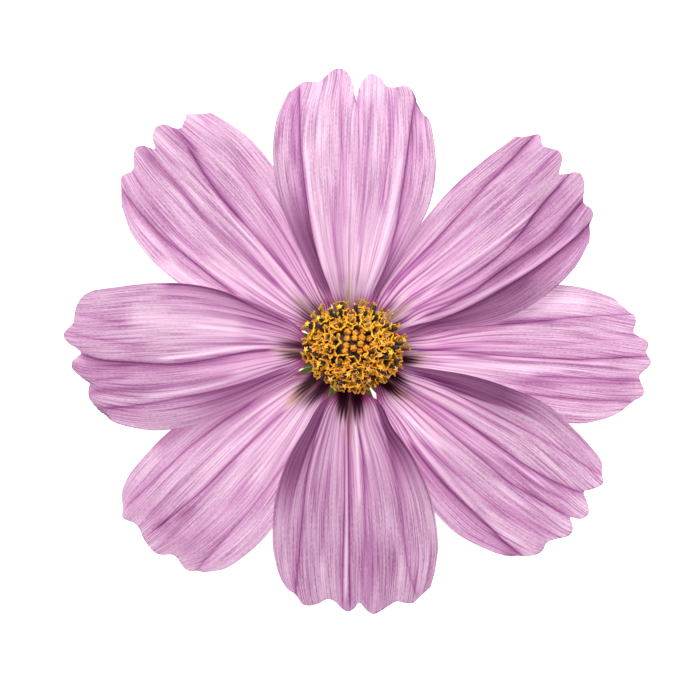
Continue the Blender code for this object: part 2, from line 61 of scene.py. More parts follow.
def pick(piece):
    """Selects this piece alone and makes it the active one."""
    deselect()
    piece.select_set(True)
    bpy.context.view_layer.objects.active = piece


def linear(hex_colour):
    """An sRGB hex colour as linear RGBA."""
    parts = [int(hex_colour[i:i + 2], 16) / 255 for i in (1, 3, 5)]
    return (*[c / 12.92 if c <= 0.04045 else ((c + 0.055) / 1.055) ** 2.4 for c in parts], 1.0)


def add_node(tree, kind, settings=None, sockets=None, links=None):
    """Adds a shader node, sets its properties and sockets, and links other nodes' outputs to it."""
    node = tree.nodes.new("ShaderNode" + kind)
    for name, value in (settings or {}).items():
        setattr(node, name, value)
    for name, value in (sockets or {}).items():
        node.inputs[name].default_value = value
    for name, source in (links or {}).items():
        tree.links.new(source, node.inputs[name])
    return node


def new_material(name):
    mat = bpy.data.materials.new(name)
    mat.use_nodes = True
    mat.node_tree.nodes.clear()
    return mat, mat.node_tree


def set_ramp(ramp, stops):
    """Gives a colour ramp these (place, hex colour) stops."""
    elements = ramp.color_ramp.elements
    while len(elements) < len(stops):
        elements.new(1.0)
    for element, (place, colour) in zip(elements, stops):
        element.position = place
        element.color = linear(colour)


def speckled(tree, scale, detail, stops):
    """Specks all through the tissue: their height, and their colour between the stops."""
    place = add_node(tree, "TexCoord")
    specks = add_node(tree, "TexNoise", None, {"Scale": scale, "Detail": detail},
                      {"Vector": place.outputs["Object"]})
    ramp = add_node(tree, "ValToRGB", links={"Fac": specks.outputs["Fac"]})
    set_ramp(ramp, stops)
    return specks.outputs["Fac"], ramp.outputs["Color"]


def tissue_surface(tree, colour, roughness, bumps=None, light_through=0.0, gloss=0.5):
    """Ends a material with plant tissue of this colour: bumps are (strength, depth in mm, height)."""
    links = {"Base Color": colour}
    if bumps:
        strength, depth, height = bumps
        bump = add_node(tree, "Bump", None, {"Strength": strength, "Distance": depth * MM},
                        {"Height": height})
        links["Normal"] = bump.outputs["Normal"]
    skin = add_node(tree, "BsdfPrincipled", None,
                    {"Roughness": roughness, "Specular IOR Level": gloss}, links)
    surface = skin.outputs["BSDF"]
    if light_through:
        glow = add_node(tree, "BsdfTranslucent", links={"Color": colour})
        both = add_node(tree, "MixShader", None, {0: light_through}, {1: surface, 2: glow.outputs["BSDF"]})
        surface = both.outputs["Shader"]
    add_node(tree, "OutputMaterial", links={"Surface": surface})


def finish(piece, mat, slot_name, *nodes):
    """Applies the piece's place, gives it its finish and hangs it on the flower."""
    pick(piece)
    bpy.ops.object.transform_apply(location=True, rotation=True, scale=True)
    bpy.ops.object.shade_smooth()
    piece.data.materials.clear()
    piece.data.materials.append(mat)
    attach(piece, "root")
    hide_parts(*nodes)


def start_ring(name, sides, radius, x, y, height, fill):
    """A ring left in edit mode, ready to be extruded."""
    deselect()
    bpy.ops.mesh.primitive_circle_add(vertices=sides, radius=radius * MM, fill_type=fill,
                                      location=(x, y, height * MM))
    piece = bpy.context.active_object
    piece.name = name
    bpy.ops.object.transform_apply(location=True)
    bpy.ops.object.mode_set(mode="EDIT")
    return piece


def raise_ring(rise):
    """Extrudes the selected ring upwards by this many mm."""
    bpy.ops.mesh.extrude_region_move(TRANSFORM_OT_translate={"value": (0.0, 0.0, rise * MM)})


def edit_all(piece):
    """Opens the piece in edit mode with everything selected."""
    pick(piece)
    bpy.ops.object.mode_set(mode="EDIT")
    bpy.ops.mesh.select_all(action="SELECT")


def face_outwards(piece):
    edit_all(piece)
    bpy.ops.mesh.normals_make_consistent(inside=False)
    bpy.ops.object.mode_set(mode="OBJECT")


def turned(name, profile, sides):
    """A closed turned shape, extruded ring by ring from a disc, from (radius, height) points in mm."""
    piece = start_ring(name, sides, profile[0][0], AXIS.x, AXIS.y, profile[0][1], "NGON")
    for (r0, z0), (r1, z1) in zip(profile, profile[1:]):
        raise_ring(z1 - z0)
        bpy.ops.transform.resize(value=(r1 / r0, r1 / r0, 1.0))
    bpy.ops.object.mode_set(mode="OBJECT")
    face_outwards(piece)
    return piece


# Fresh stem tissue: leaf green, a little waxy, darker in blotches about a millimetre wide.
stem_green, tree = new_material("fresh_green_stem")
mottle, green = speckled(tree, 900.0, 4.0, ((0.3, "#4E6B24"), (0.7, "#7E9B3E")))
tissue_surface(tree, green, roughness=0.5, bumps=(0.3, 0.05, mottle))

cup = turned("receptacle_cup", CUP, CUP_SIDES)
for vert in cup.data.vertices:
    arm = vert.co - Vector((AXIS.x, AXIS.y, vert.co.z))
    if arm.length > CUP[1][0] * MM:
        turn = math.atan2(arm.y, arm.x)
        vert.co += arm.normalized() * RIB_DEPTH * MM * math.cos(RIBS * turn)
finish(cup, stem_green, "calyx", "receptacle")

# Outer bracts: eight narrow green leaves that grow from the cup's rim and lie between the
# petals. They are thin leaf tissue, keeled underneath, and darker along their veins.

SECTORS = (89.0, 39.0, -1.5, -36.0, -89.0, -134.0, 180.0, 133.5)      # the petals' directions
OUTER_BRACT = ((3.2, 0.8, 2.6), (4.2, 0.75, 2.85), (5.4, 0.55, 3.1), (6.5, 0.4, 3.35), (7.4, 0.25, 3.55),
               (7.95, 0.06, 3.7))
OUTER_THICK, OUTER_HOLLOW = 0.35, 0.25
BRACT_ACROSS, BRACT_ALONG = 10, 28


def smooth_path(points, steps=10):
    """A curve of (x, y) points that passes smoothly through the given ones."""
    p = np.array(points, float)
    p = np.vstack([2 * p[0] - p[1], p, 2 * p[-1] - p[-2]])
    t = np.linspace(0.0, 1.0, steps, endpoint=False)[:, None]
    spans = [0.5 * (2 * b + (c - a) * t + (2 * a - 5 * b + 4 * c - d) * t ** 2
                    + (3 * b - a - 3 * c + d) * t ** 3)
             for a, b, c, d in zip(p, p[1:], p[2:], p[3:])]
    return np.vstack(spans + [p[-2:-1]])


def read_points(piece, what="co"):
    """The places of the piece's points, or their normals, as rows of three."""
    rows = np.empty(len(piece.data.vertices) * 3)
    piece.data.vertices.foreach_get(what, rows)
    return rows.reshape(-1, 3)


def move_points(piece, points):
    """Moves the piece's points to these places in mm."""
    piece.data.vertices.foreach_set("co", (points * MM).ravel())
    piece.data.update()


def grid_piece(name, across, along):
    """A flat grid, and for each vertex its share across and its share along."""
    deselect()
    bpy.ops.mesh.primitive_grid_add(x_subdivisions=across, y_subdivisions=along, size=2.0)
    piece = bpy.context.active_object
    piece.name = name
    flat = read_points(piece)
    return piece, (flat[:, 0] + 1) / 2, (flat[:, 1] + 1) / 2


def place_grid(piece, across, out, height, degrees):
    """Puts the grid's points on the flower, from arrays in millimetres and the piece's direction."""
    a = math.radians(degrees)
    move_points(piece, np.stack([AXIS.x / MM + across * math.sin(a) + out * math.cos(a),
                                 AXIS.y / MM - across * math.cos(a) + out * math.sin(a), height], axis=1))


def add_attribute(piece, name, kind, values):
    layer = piece.data.attributes.new(name, kind, "POINT")
    layer.data.foreach_set("vector" if kind == "FLOAT_VECTOR" else "value",
                           np.asarray(values, np.float32).ravel())


def give_wall(piece, thick, smoothings=0):
    """Gives the sheet a thickness in mm, half to each side, and smooths it if asked."""
    wall = piece.modifiers.new("Wall", "SOLIDIFY")
    wall.thickness = thick * MM
    wall.offset = 0.0
    if smoothings:
        smooth = piece.modifiers.new("Smooth", "SUBSURF")
        smooth.levels = smoothings
        smooth.render_levels = smoothings
    pick(piece)
    for modifier in list(piece.modifiers):
        bpy.ops.object.modifier_apply(modifier=modifier.name)


def join(name, pieces):
    deselect()
    for piece in pieces:
        piece.select_set(True)
    bpy.context.view_layer.objects.active = pieces[0]
    bpy.ops.object.join()
    pieces[0].name = name
    return pieces[0]


def bract(name, stations, degrees, thick, hollow):
    """A pointed leaf from (distance out, half width, height) stations, hollowed along its middle."""
    piece, s, t = grid_piece(name, BRACT_ACROSS, BRACT_ALONG)
    line = np.array(stations)
    out = line[0, 0] + t * (line[-1, 0] - line[0, 0])
    half = np.interp(out, *smooth_path(line[:, [0, 1]]).T)
    height = np.interp(out, *smooth_path(line[:, [0, 2]]).T)
    side = 2 * s - 1
    place_grid(piece, side * half, out, height + hollow * (side ** 2 - 0.4) * half, degrees)
    add_attribute(piece, "leaf", "FLOAT_VECTOR", np.stack([side, out, 0 * out], axis=1))
    give_wall(piece, thick)
    return piece


def between(i):
    """The direction midway between petal i and the next."""
    return SECTORS[i] + ((SECTORS[(i + 1) % 8] - SECTORS[i] + 180.0) % 360.0 - 180.0) / 2.0


def drawn_out_noise(way, across, along, detail=3.0, roughness=0.5):
    """Noise drawn out along a leaf or petal: how many patches in one unit across and in one along."""
    tree = way.id_data
    scaled = add_node(tree, "VectorMath", {"operation": "MULTIPLY"}, {1: (across, along, 0.0)},
                      {0: way.outputs["Vector"]})
    return add_node(tree, "TexNoise", None, {"Scale": 1.0, "Detail": detail, "Roughness": roughness},
                    {"Vector": scaled.outputs["Vector"]})


# Leaf tissue: mid green and slightly satin, with darker veins running to the point.
leaf_green, tree = new_material("green_bract_leaf")
leaf = add_node(tree, "Attribute", {"attribute_name": "leaf"})
veins = drawn_out_noise(leaf, 9.0, 0.35)
ramp = add_node(tree, "ValToRGB", links={"Fac": veins.outputs["Fac"]})
set_ramp(ramp, ((0.35, "#72A044"), (0.55, "#A0C868"), (0.75, "#D6E8AE")))
tissue_surface(tree, ramp.outputs["Color"], roughness=0.45, bumps=(0.4, 0.06, veins.outputs["Fac"]))

outer = join("outer_bracts", [bract(f"outer_{i}", OUTER_BRACT, between(i), OUTER_THICK, OUTER_HOLLOW)
                              for i in range(8)])
finish(outer, leaf_green, "calyx", "receptacle")

# Inner bracts: eight broad papery leaves, one behind each petal, that held the bud closed. They
# are dry and straw-brown in the middle and clear and pale at the margins.

INNER_BRACT = ((3.8, 1.4, 4.1), (4.5, 1.6, 4.15), (5.2, 1.9, 4.2), (6.3, 2.1, 4.3), (7.6, 1.95, 4.42),
               (9.0, 1.3, 4.55), (10.0, 0.6, 4.7), (10.55, 0.08, 4.8))
INNER_THICK, INNER_HOLLOW = 0.22, 0.12

# Dry bract tissue: papery and dull, its fine veins brown against the pale margin.
papery, tree = new_material("dry_papery_bract")
leaf = add_node(tree, "Attribute", {"attribute_name": "leaf"})
veins = drawn_out_noise(leaf, 14.0, 0.4)
parts = add_node(tree, "SeparateXYZ", links={0: leaf.outputs["Vector"]})
edge = add_node(tree, "Math", {"operation": "ABSOLUTE"}, links={0: parts.outputs["X"]})
margin_hue = add_node(tree, "ValToRGB", links={"Fac": edge.outputs["Value"]})
set_ramp(margin_hue, ((0.45, "#8A7A45"), (0.75, "#C9BE8A"), (1.0, "#F1ECCB")))
streaks = add_node(tree, "ValToRGB", links={"Fac": veins.outputs["Fac"]})
set_ramp(streaks, ((0.35, "#9A8A66"), (0.6, "#FFFFFF")))
straw = add_node(tree, "Mix", {"data_type": "RGBA", "blend_type": "MULTIPLY"}, {0: 0.7},
                 {6: margin_hue.outputs["Color"], 7: streaks.outputs["Color"]})
tissue_surface(tree, straw.outputs[2], roughness=0.6, light_through=0.35)

inner = join("inner_bracts_leaves", [bract(f"inner_{i}", INNER_BRACT, angle, INNER_THICK, INNER_HOLLOW)
                                     for i, angle in enumerate(SECTORS)])
finish(inner, papery, "bract", "inner_bracts")

# Petals: eight thin, moist sheets on short claws, in three layers, pleated lengthwise where
# they were folded in the bud. Each outline is given as (across, outwards) in millimetres from
# the flower's axis, "left" being the anticlockwise side.

CLAW_START, CLAW_HALF = 4.6, 1.2
MARGIN_AT = (5.6, 6.6, 8.0, 10.5, 14.5, 19.5, 25.0)
PETAL_THICK = 0.25
LIFT_OVER, LIFT_UNDER = 0.75, -0.60     # how a margin rises over its neighbour or dips under it
LIFT_FROM, LIFT_CURVE = (5.3, 7.2), 1.6
# How high a petal of each layer stands: at its claw, its bend and its tip.
LAYERS = {"low": (5.4, 8.0, 0.66), "mid": (5.5, 8.8, 1.8), "high": (5.6, 9.6, 2.8)}
PETAL_ACROSS, PETAL_ALONG = 216, 96
# the line down in a crease is painted shade
CREASE_LINE, CREASE_SHADE_TONE = 0.13, 0.7    # half width and tone of the crisp line down in a crease
NERVES, FRAY = 18, 1.4      # nerves across a petal, and how far they fray the end of a mark
GRAIN_UNITS = 20            # of the tissue's grain across a petal
DEEP_AT = (8.0, 33.0)
CLAW_TONE, CLAW_FADE, NERVES_FADE = 0.8, (5.6, 8.2), (8.0, 25.0)
LOBE_FADE, TAN_FADE = (-1.2, 1.4), (-2.5, 0.4)      # these two counted from the mark's own end
TAN_START = (4.0, 7.5)

# left, right: across at each of MARGIN_AT, then the margin's last two points; tip: the notched end
# folds: (depth, tone, reach to the left, reach to the right, path) of each crease and its painted shade
# shade_bands: (tone, side, path) of painted shade on the margins beyond a crease that lie double
# over a neighbour
# veins: (tone, half width, path) of the magenta lines; pale_and_highlight_lines: the same for the
# whitish ones, partly a paler tone and partly painted highlights on the ridges beside the creases
# and painted light where a neighbour or the disc casts its shadow
# lobes: (tone, across, half width, end) of the maroon base mark, partly the petal's own colour and
# partly painted shade where the calyx beneath blocks the light from below; tan: the same for the
# tan streaks below it, a painted shadow of the inner bract's tip seen through the petal; deep: how
# far the petal darkens at its claw and at its tip; nerves: how strongly they show near the claw
PETALS = {
    "petal_1": dict(
        angle=89, layer="high", over=(1, 1), deep=(0.12, 0.1), nerves=0.5,
        left=((-1.9, -3.1, -4, -5.4, -7.5, -9.45, -10.5), (-10.2, 30.5), (-8.7, 34.8)),
        right=((2.1, 3.3, 4, 5.5, 7.7, 10.1, 10.95), (10.4, 30.5), (9.8, 31.7)),
        tip=((-8, 35.4), (-7.2, 36.2), (-6.4, 36.7), (-5, 36.75), (-4.2, 37.1), (-3.5, 37.9),
             (-2.7, 38.7), (-1.7, 39.1), (-0.7, 38.5), (-0.1, 37.3), (0.15, 35.7), (0.4, 34),
             (0.75, 35.8), (1.3, 37.3), (2.4, 38.4), (3.6, 37.9), (4.5, 36.6), (5.6, 36.4), (6.9, 36.6),
             (7.7, 36.2), (8.1, 34.7), (8.7, 33.4)),
        folds=((0.35, 0.75, 1.1, 0.2, ((-2.5, 7.3), (-3.6, 10), (-4.4, 12.5), (-5.3, 16), (-6, 20),
                   (-6.5, 24), (-6.9, 28), (-7.1, 36))),
               (0.2, 0.25, 0.5, 0.5, ((-1.9, 11), (-2.4, 16), (-2.7, 22))),
               (0.2, 0.35, 0.4, 0.5, ((-1, 16), (-1.2, 25), (-1.6, 30), (-1.7, 37))),
               (0.25, 0.35, 0.5, 0.6, ((0.8, 20), (0.9, 26), (0.7, 35))),
               (0.25, 0.4, 0.6, 0.6, ((4, 18), (4.2, 22), (4.7, 26), (4.9, 30), (4.9, 35))),
               (0.35, 0.75, 0.22, 0.9, ((2.6, 7), (3.4, 8.5), (4.2, 10.5), (5, 13), (5.8, 16.5),
                   (6.3, 20), (7.2, 27), (7.7, 31), (8.2, 34.5))),
               (0.1, 0.2, 0.5, 0.5, ((8.6, 25), (8.5, 29)))),
        shade_bands=((0.6, -1, ((-2.3, 7), (-3.6, 10), (-4.4, 12.5), (-5.3, 16), (-6, 22))),
               (0.65, 1, ((2.4, 6.5), (3.4, 8.5), (4.2, 10.5), (5, 13), (5.6, 15.5)))),
        veins=((0.6, 0.3, ((-7.6, 24), (-8, 29), (-8, 33))),
               (0.6, 0.3, ((0.9, 14), (1.2, 18), (1.6, 22), (1.9, 26), (2.2, 30), (2.5, 34))),
               (0.4, 0.3, ((5, 27), (5.4, 31), (5.7, 35.5))),
               (0.4, 0.5, ((-0.9, 5), (-1.3, 7.4), (-1.4, 9))),
               (0.4, 0.5, ((0.9, 5), (1.3, 7.4), (1.4, 9)))),
        # the first is painted light over the disc's shadow on the claw
        pale_and_highlight_lines=((0.4, 2.2, ((0, 6.5), (0, 8.5))),
               (0.12, 8, ((0, 10), (0, 37))),
               (0.6, 0.25, ((-3.2, 9), (-4, 13), (-5.4, 20), (-6.2, 27))),
               (0.6, 0.25, ((2.2, 8), (3.8, 13), (5.4, 20), (6.3, 26)))),
        lobes=((0.25, -1.2, 0.35, 7), (0.25, 1.2, 0.35, 7)),
        tan=((0.8, -0.3, 0.3, 10.4), (0.6, 0.2, 0.15, 9.6))),
    "petal_2": dict(
        angle=39, layer="mid", over=(-1, 1), deep=(0, 0.14), nerves=0.75,
        left=((-1.8, -3, -4, -5.1, -6.4, -7.7, -8.8), (-9.2, 30.5), (-9.4, 36.6)),
        right=((1.8, 2.9, 4, 5, 7.5, 9.6, 10.2), (9.6, 30.5), (8, 34.6)),
        tip=((-8.8, 37.25), (-8.3, 38.65), (-7.7, 39.5), (-7, 39.15), (-6.2, 38.75), (-5.4, 39.35),
             (-4.5, 40.05), (-3.5, 39.85), (-2.5, 38.75), (-1.9, 37.8), (-1.4, 38.45), (-0.9, 39.75),
             (-0.1, 40.35), (0.8, 40.05), (1.8, 39.25), (2.7, 38.25), (3.4, 37.8), (4.5, 38.05),
             (5.4, 37.65), (6.1, 36.45), (7.3, 35.35)),
        folds=((0.4, 0.75, 0.2, 0.5, ((-2.8, 8.5), (-3.5, 11), (-4, 14), (-4.5, 18), (-5, 21), (-6.2, 28),
                   (-7.2, 34), (-8.1, 38.7))),
               (0, 0.3, 0.3, 1.2, ((-6.9, 32), (-7.2, 34), (-8.1, 38.7))),
               (0.2, 0.35, 0.5, 0.6, ((-0.9, 10), (-1, 14), (-1.2, 18), (-1.6, 22), (-2, 26), (-2.9, 32),
                   (-4.5, 39.8))),
               (0.4, 0.75, 0.25, 0.4, ((0.7, 9), (1.2, 12), (1.7, 15), (2.1, 18), (2.3, 21), (2.2, 24),
                   (1.8, 26.5), (1.3, 29), (0.5, 31.5), (-0.6, 37), (-1.1, 39.6))),
               (0, 0.6, 0.2, 1.5, ((1.9, 26), (1.3, 29), (0.5, 31.5), (-0.6, 37))),
               (0.2, 0.8, 0.5, 0.9, ((2.4, 10), (3.2, 13), (3.7, 16), (4, 18), (4, 22), (4.2, 27),
                   (4.2, 31), (3.5, 35), (3, 38))),
               (0, 0.35, 1.6, 1.6, ((4.6, 20), (5, 27), (5, 34))),
               (0.4, 0.9, 0.18, 1.4, ((2, 7), (2.9, 9), (3.8, 11), (4.5, 13), (5.2, 16), (6, 21),
                   (6.5, 27), (6.4, 33), (5.8, 37.5))),
               (0, 0.4, 1.2, 0.3, ((-8.4, 24), (-9, 28), (-9.2, 32)))),
        shade_bands=((0.5, 1, ((1.9, 6.5), (2.9, 9), (3.8, 11), (4.5, 13), (5.2, 16), (6, 21), (6.5, 29))),),
        veins=((0.6, 0.25, ((0.7, 14), (1.1, 22), (1, 28))),
               (0.4, 0.3, ((-3.2, 14), (-3.4, 20), (-4.4, 30))),
               (0.8, 0.5, ((-0.9, 5), (-1.2, 7.4), (-1.3, 8.6))),
               (0.8, 0.5, ((0.9, 5), (1.2, 7.4), (1.3, 8.6)))),
        pale_and_highlight_lines=((0.8, 0.2, ((-2.3, 33), (-1.9, 30), (-1.5, 27))),
               (0.5, 0.2, ((0.3, 12), (0.5, 16), (0.6, 20), (0.7, 24), (0.5, 28), (0.2, 32))),
               (0.8, 0.25, ((-1.3, 39), (-0.7, 35))),
               (0.8, 0.25, ((1.6, 7), (3.3, 11), (4.7, 16), (5.6, 22), (6.2, 28), (6.1, 34)))),
        lobes=((0.4, -1.2, 0.35, 7.6), (0.4, 1.1, 0.35, 7.6)),
        tan=((0.8, 0.1, 0.3, 10.8), (0.6, -0.4, 0.12, 9.6))),
    "petal_3": dict(
        angle=-1.5, layer="low", over=(-1, -1), deep=(0, 0), nerves=0.8,
        left=((-1.8, -2.9, -3.8, -4.7, -6.8, -8.8, -10.2), (-10.4, 30.5), (-9.6, 34.9)),
        right=((1.7, 2.4, 3, 3.8, 5.2, 6.7, 7.75), (7.9, 30.5), (7, 34)),
        tip=((-8.9, 35.9), (-8, 37.1), (-7.5, 38), (-6.5, 38.25), (-5.2, 37.9), (-4.7, 38.5),
             (-4.2, 39.8), (-3.3, 40), (-2.7, 39.7), (-2, 40.1), (-1.3, 40.4), (-0.5, 39.95), (0.3, 39.1),
             (0.9, 38.75), (1.8, 39.1), (2.7, 39.5), (3.5, 39.1), (4.1, 38.1), (5.2, 36.9), (6.1, 35.8)),
        folds=((0.35, 0.55, 0.25, 0.25, ((-2.4, 8.5), (-3, 11), (-3.8, 15), (-4.4, 19), (-4.8, 22),
                   (-5.3, 25), (-6.3, 30), (-6.8, 33), (-7.6, 37.8))),
               (0.2, 0.3, 0.5, 0.5, ((-1.6, 11), (-1.8, 15), (-2, 20), (-2.3, 28), (-3.4, 33),
                   (-4.3, 38.5))),
               (0.4, 0.7, 0.5, 0.3, ((-0.3, 8), (-0.6, 14), (-0.3, 20), (-0.4, 27), (-1, 33.5),
                   (-2.1, 39.8))),
               (0.25, 0.55, 0.4, 0.7, ((2.2, 24), (2, 27), (1.9, 30), (1.4, 36), (1.1, 38.5))),
               (0, 0.4, 0.4, 0.5, ((3, 22), (2.8, 26), (2.6, 30), (1.9, 37))),
               (0.35, 0.6, 0.35, 0.5, ((4.5, 22), (4.6, 25), (4.7, 28), (4.6, 32), (4.2, 38))),
               (0.1, 0.3, 0.6, 0.6, ((3.2, 19), (3.4, 23), (3.5, 27)))),
        shade_bands=(),
        veins=((0.7, 0.5, ((-4.6, 19), (-4.9, 22), (-5.5, 27))),
               (0.7, 0.22, ((0.1, 14), (0.4, 22), (0.3, 26), (0.1, 36))),
               # this one is painted shadow along the margin of petal 2, which lies over this petal
               (0.5, 0.5, ((-7, 16), (-8.5, 20), (-9.6, 25)))),
        # the first is painted light where petal 2 shades this petal
        pale_and_highlight_lines=((0.35, 1.4, ((-5.8, 17), (-7.2, 21), (-8, 26), (-8.2, 31))),
               (0.6, 0.2, ((0, 18), (0, 27), (-0.3, 34))),
               (0.5, 0.3, ((1.2, 12), (1.3, 20), (1.2, 28)))),
        lobes=((0.9, -0.6, 0.45, 7.9), (1, 0.8, 0.6, 8.9)),
        tan=((0.7, 0.1, 0.18, 11.4), (0.7, 0.9, 0.35, 10.8))),
    "petal_4": dict(
        angle=-36, layer="mid", over=(1, -1), deep=(0.18, 0.05), nerves=0.9,
        left=((-1.7, -2.6, -3.2, -4.5, -6.5, -8.3, -9.6), (-9.3, 30.5), (-8.75, 34.2)),
        right=((1.8, 2.9, 4.1, 5.5, 8, 10, 10.95), (9.8, 30.5), (8.8, 32.3)),
        tip=((-8.3, 35.1), (-7.3, 35.9), (-6.5, 36.7), (-5.8, 36.6), (-4.8, 36), (-3.9, 35.4),
             (-3.1, 36.6), (-2.4, 37.4), (-1.8, 37.55), (-0.8, 37), (-0.15, 35.9), (0.5, 36.8),
             (1.2, 37.2), (2.1, 37), (3.3, 36), (4.4, 35.35), (5.6, 35.5), (6.7, 35), (7.7, 33.9)),
        folds=((0.3, 0.5, 0.4, 0.25, ((-2.4, 8.5), (-3, 11), (-3.4, 13.5), (-3.8, 16.5), (-4.4, 20),
                   (-5.6, 26), (-6.3, 31), (-7, 35.8))),
               (0.1, 0.2, 0.5, 0.5, ((-8.2, 30), (-8.6, 33))),
               (0.4, 0.75, 0.2, 0.9, ((-0.6, 8), (-0.7, 10), (-1.3, 16), (-1.6, 24), (-1.7, 27),
                   (-2.6, 31.8), (-3.7, 35.3))),
               (0.35, 0.7, 0.6, 0.2, ((0.5, 8), (0.8, 15), (1.1, 19), (1.4, 26), (1.2, 28.5), (0.4, 33),
                   (0, 35.5))),
               (0.25, 0.4, 0.5, 0.6, ((4.1, 14), (4.5, 18), (4.9, 22), (5, 26), (4.6, 30), (4.1, 35))),
               (0.1, 0.25, 0.5, 0.5, ((4, 27), (3.6, 30), (3.4, 34))),
               (0.35, 0.8, 0.2, 1.3, ((4.9, 13), (5.8, 16), (6.5, 19), (7, 22), (7.5, 28), (7.8, 31),
                   (7.7, 33.6)))),
        shade_bands=((0.8, -1, ((-2.1, 6.5), (-3.3, 11.7), (-3.7, 14.4), (-4.2, 16), (-4.8, 18), (-5.5, 20),
                   (-6.3, 22.5), (-7.6, 27))),),
        veins=((0.6, 0.3, ((-0.2, 24), (-0.5, 28), (-0.8, 31), (-1.5, 34))),
               (0.4, 0.3, ((1.9, 24), (1.9, 30), (1.8, 35)))),
        pale_and_highlight_lines=((0.7, 0.2, ((-0.3, 8.5), (-0.5, 12), (-0.7, 17), (-1, 26), (-1.1, 30))),
               (0.8, 0.2, ((2.4, 10), (2.8, 13), (3.2, 17))),
               (0.5, 0.25, ((4.4, 13), (5.9, 19), (6.9, 25)))),
        lobes=((1, -0.8, 0.7, 8.3), (1, 0.7, 0.7, 8.7)),
        tan=((0.8, 0.1, 0.12, 12.6), (0.7, 0.8, 0.35, 11))),
    "petal_5": dict(
        angle=-89, layer="high", over=(1, 1), deep=(0.2, 0.27), nerves=0.55,
        left=((-2.1, -3.4, -4.3, -5.4, -8, -10.1, -11), (-10.7, 28.5), (-10.1, 30.8)),
        right=((1.7, 3.3, 4.5, 5.9, 8.2, 9.9, 10.3), (9.75, 28.4), (9.1, 30)),
        tip=((-9.3, 31.5), (-8.5, 32.2), (-7.8, 32.75), (-6.8, 32.7), (-5.8, 32.5), (-4.9, 32.9),
             (-3.8, 33.6), (-2.8, 34), (-1.9, 33.5), (-0.95, 32.6), (-0.3, 33.3), (0.5, 33.65),
             (1.3, 33.3), (2.2, 32.45), (3.2, 32.15), (4.4, 32.7), (5.6, 32.95), (6.5, 32.7), (7.3, 31.6),
             (8.3, 31)),
        folds=((0.3, 0.5, 0.6, 0.25, ((-3, 9), (-3.8, 11), (-4.5, 13.5), (-5.3, 16), (-6, 19), (-6.5, 22),
                   (-7, 27.5), (-8.3, 32))),
               (0.25, 0.35, 0.9, 0.5, ((-1.4, 14), (-1.7, 22), (-1.5, 30), (-1.8, 33))),
               (0, 0.3, 1.5, 1, ((-2.2, 24), (-2.6, 31))),
               (0.4, 0.85, 0.35, 0.15, ((0.3, 8.5), (0.4, 11), (0.4, 25), (0.2, 33))),
               (0.2, 0.7, 0.15, 0.4, ((0.8, 10), (0.9, 15), (1, 20), (1.2, 28), (1.2, 33))),
               (0.35, 0.6, 0.3, 0.7, ((3.5, 8), (4.3, 10.5), (5, 13), (5.7, 16), (6.1, 19), (6.4, 22),
                   (7, 28), (7.3, 31.7))),
               (0.1, 0.3, 0.5, 0.5, ((5, 17), (4.8, 22)))),
        shade_bands=((0.85, -1, ((-3, 6.5), (-3.9, 10), (-4.5, 12), (-6, 19))),
               (0.75, 1, ((2.3, 6), (3.2, 8), (4.5, 11), (5.4, 13), (6.5, 16), (7.6, 20), (8.2, 23)))),
        veins=((0.6, 0.2, ((-1, 10), (-1.3, 13), (-1.7, 19))),
               (0.4, 0.4, ((3, 15), (3.6, 20), (4, 27)))),
        pale_and_highlight_lines=((0.8, 0.18, ((-0.5, 9), (-0.7, 12), (-0.8, 16), (-0.9, 20))),
               (0.8, 0.18, ((0.75, 9), (0.7, 20), (0.8, 28), (0.8, 31.5)))),
        lobes=((1, -0.9, 0.9, 8.7), (1, 0.9, 0.9, 8.9)),
        tan=((1, -0.1, 0.1, 13.1), (1, 0.75, 0.1, 12.6))),
    "petal_6": dict(
        angle=-134, layer="low", over=(-1, -1), deep=(0, 0.14), nerves=0.6,
        left=((-1.7, -2.5, -3.3, -4.5, -6.5, -8.3, -9.2), (-8.5, 30.5), (-6.6, 33.3)),
        right=((1.7, 2.6, 3.8, 5, 6.9, 8.6, 9.4), (9.3, 30.5), (8.6, 33)),
        tip=((-5.7, 33.8), (-4.9, 34.55), (-3.8, 34.6), (-2.6, 34.4), (-1.8, 34.7), (-1, 35.5),
             (-0.1, 35.85), (1, 35.8), (2.2, 35.6), (3.3, 35.1), (4.3, 35), (5.2, 35.3), (6.1, 35.5),
             (6.8, 34.7), (7.9, 33.8)),
        folds=((0.3, 0.45, 0.6, 0.4, ((-4, 14), (-4.6, 17), (-5.2, 22.5), (-5.5, 28), (-5.6, 34))),
               (0.25, 0.3, 1, 1, ((-2.9, 21), (-3, 24), (-3.1, 27), (-2.9, 33))),
               (0.35, 0.75, 0.25, 0.4, ((0.4, 11), (0.6, 18), (0.7, 22), (0.8, 26), (1.4, 31),
                   (1.9, 34))),
               (0.1, 0.2, 0.6, 0.6, ((0.1, 28), (-0.1, 30), (-0.3, 34))),
               (0, 0.35, 3.2, 3.2, ((1.5, 31.5), (1.5, 33.2))),
               (0.3, 0.55, 0.4, 0.5, ((4.1, 13), (4.5, 15.5), (5.2, 18.5), (6, 24), (6.2, 27),
                   (6.6, 34))),
               (0, 0.35, 1, 0.3, ((9.1, 20), (9.3, 26)))),
        shade_bands=(),
        veins=((0.7, 0.25, ((0.2, 20), (0.2, 27), (0.6, 31))),
               (0.5, 0.3, ((2.2, 14), (3.2, 24), (3.6, 33)))),
        pale_and_highlight_lines=((0.5, 0.15, ((1.1, 16), (1.3, 22), (1.6, 28))),
               (0.15, 8, ((0, 9), (0, 28)))),
        lobes=((0.9, -0.9, 0.7, 8.6), (0.95, 0.7, 0.8, 8.6)),
        tan=((0.9, 0.1, 0.1, 10.6), (0.8, 0.7, 0.7, 11.8))),
    "petal_7": dict(
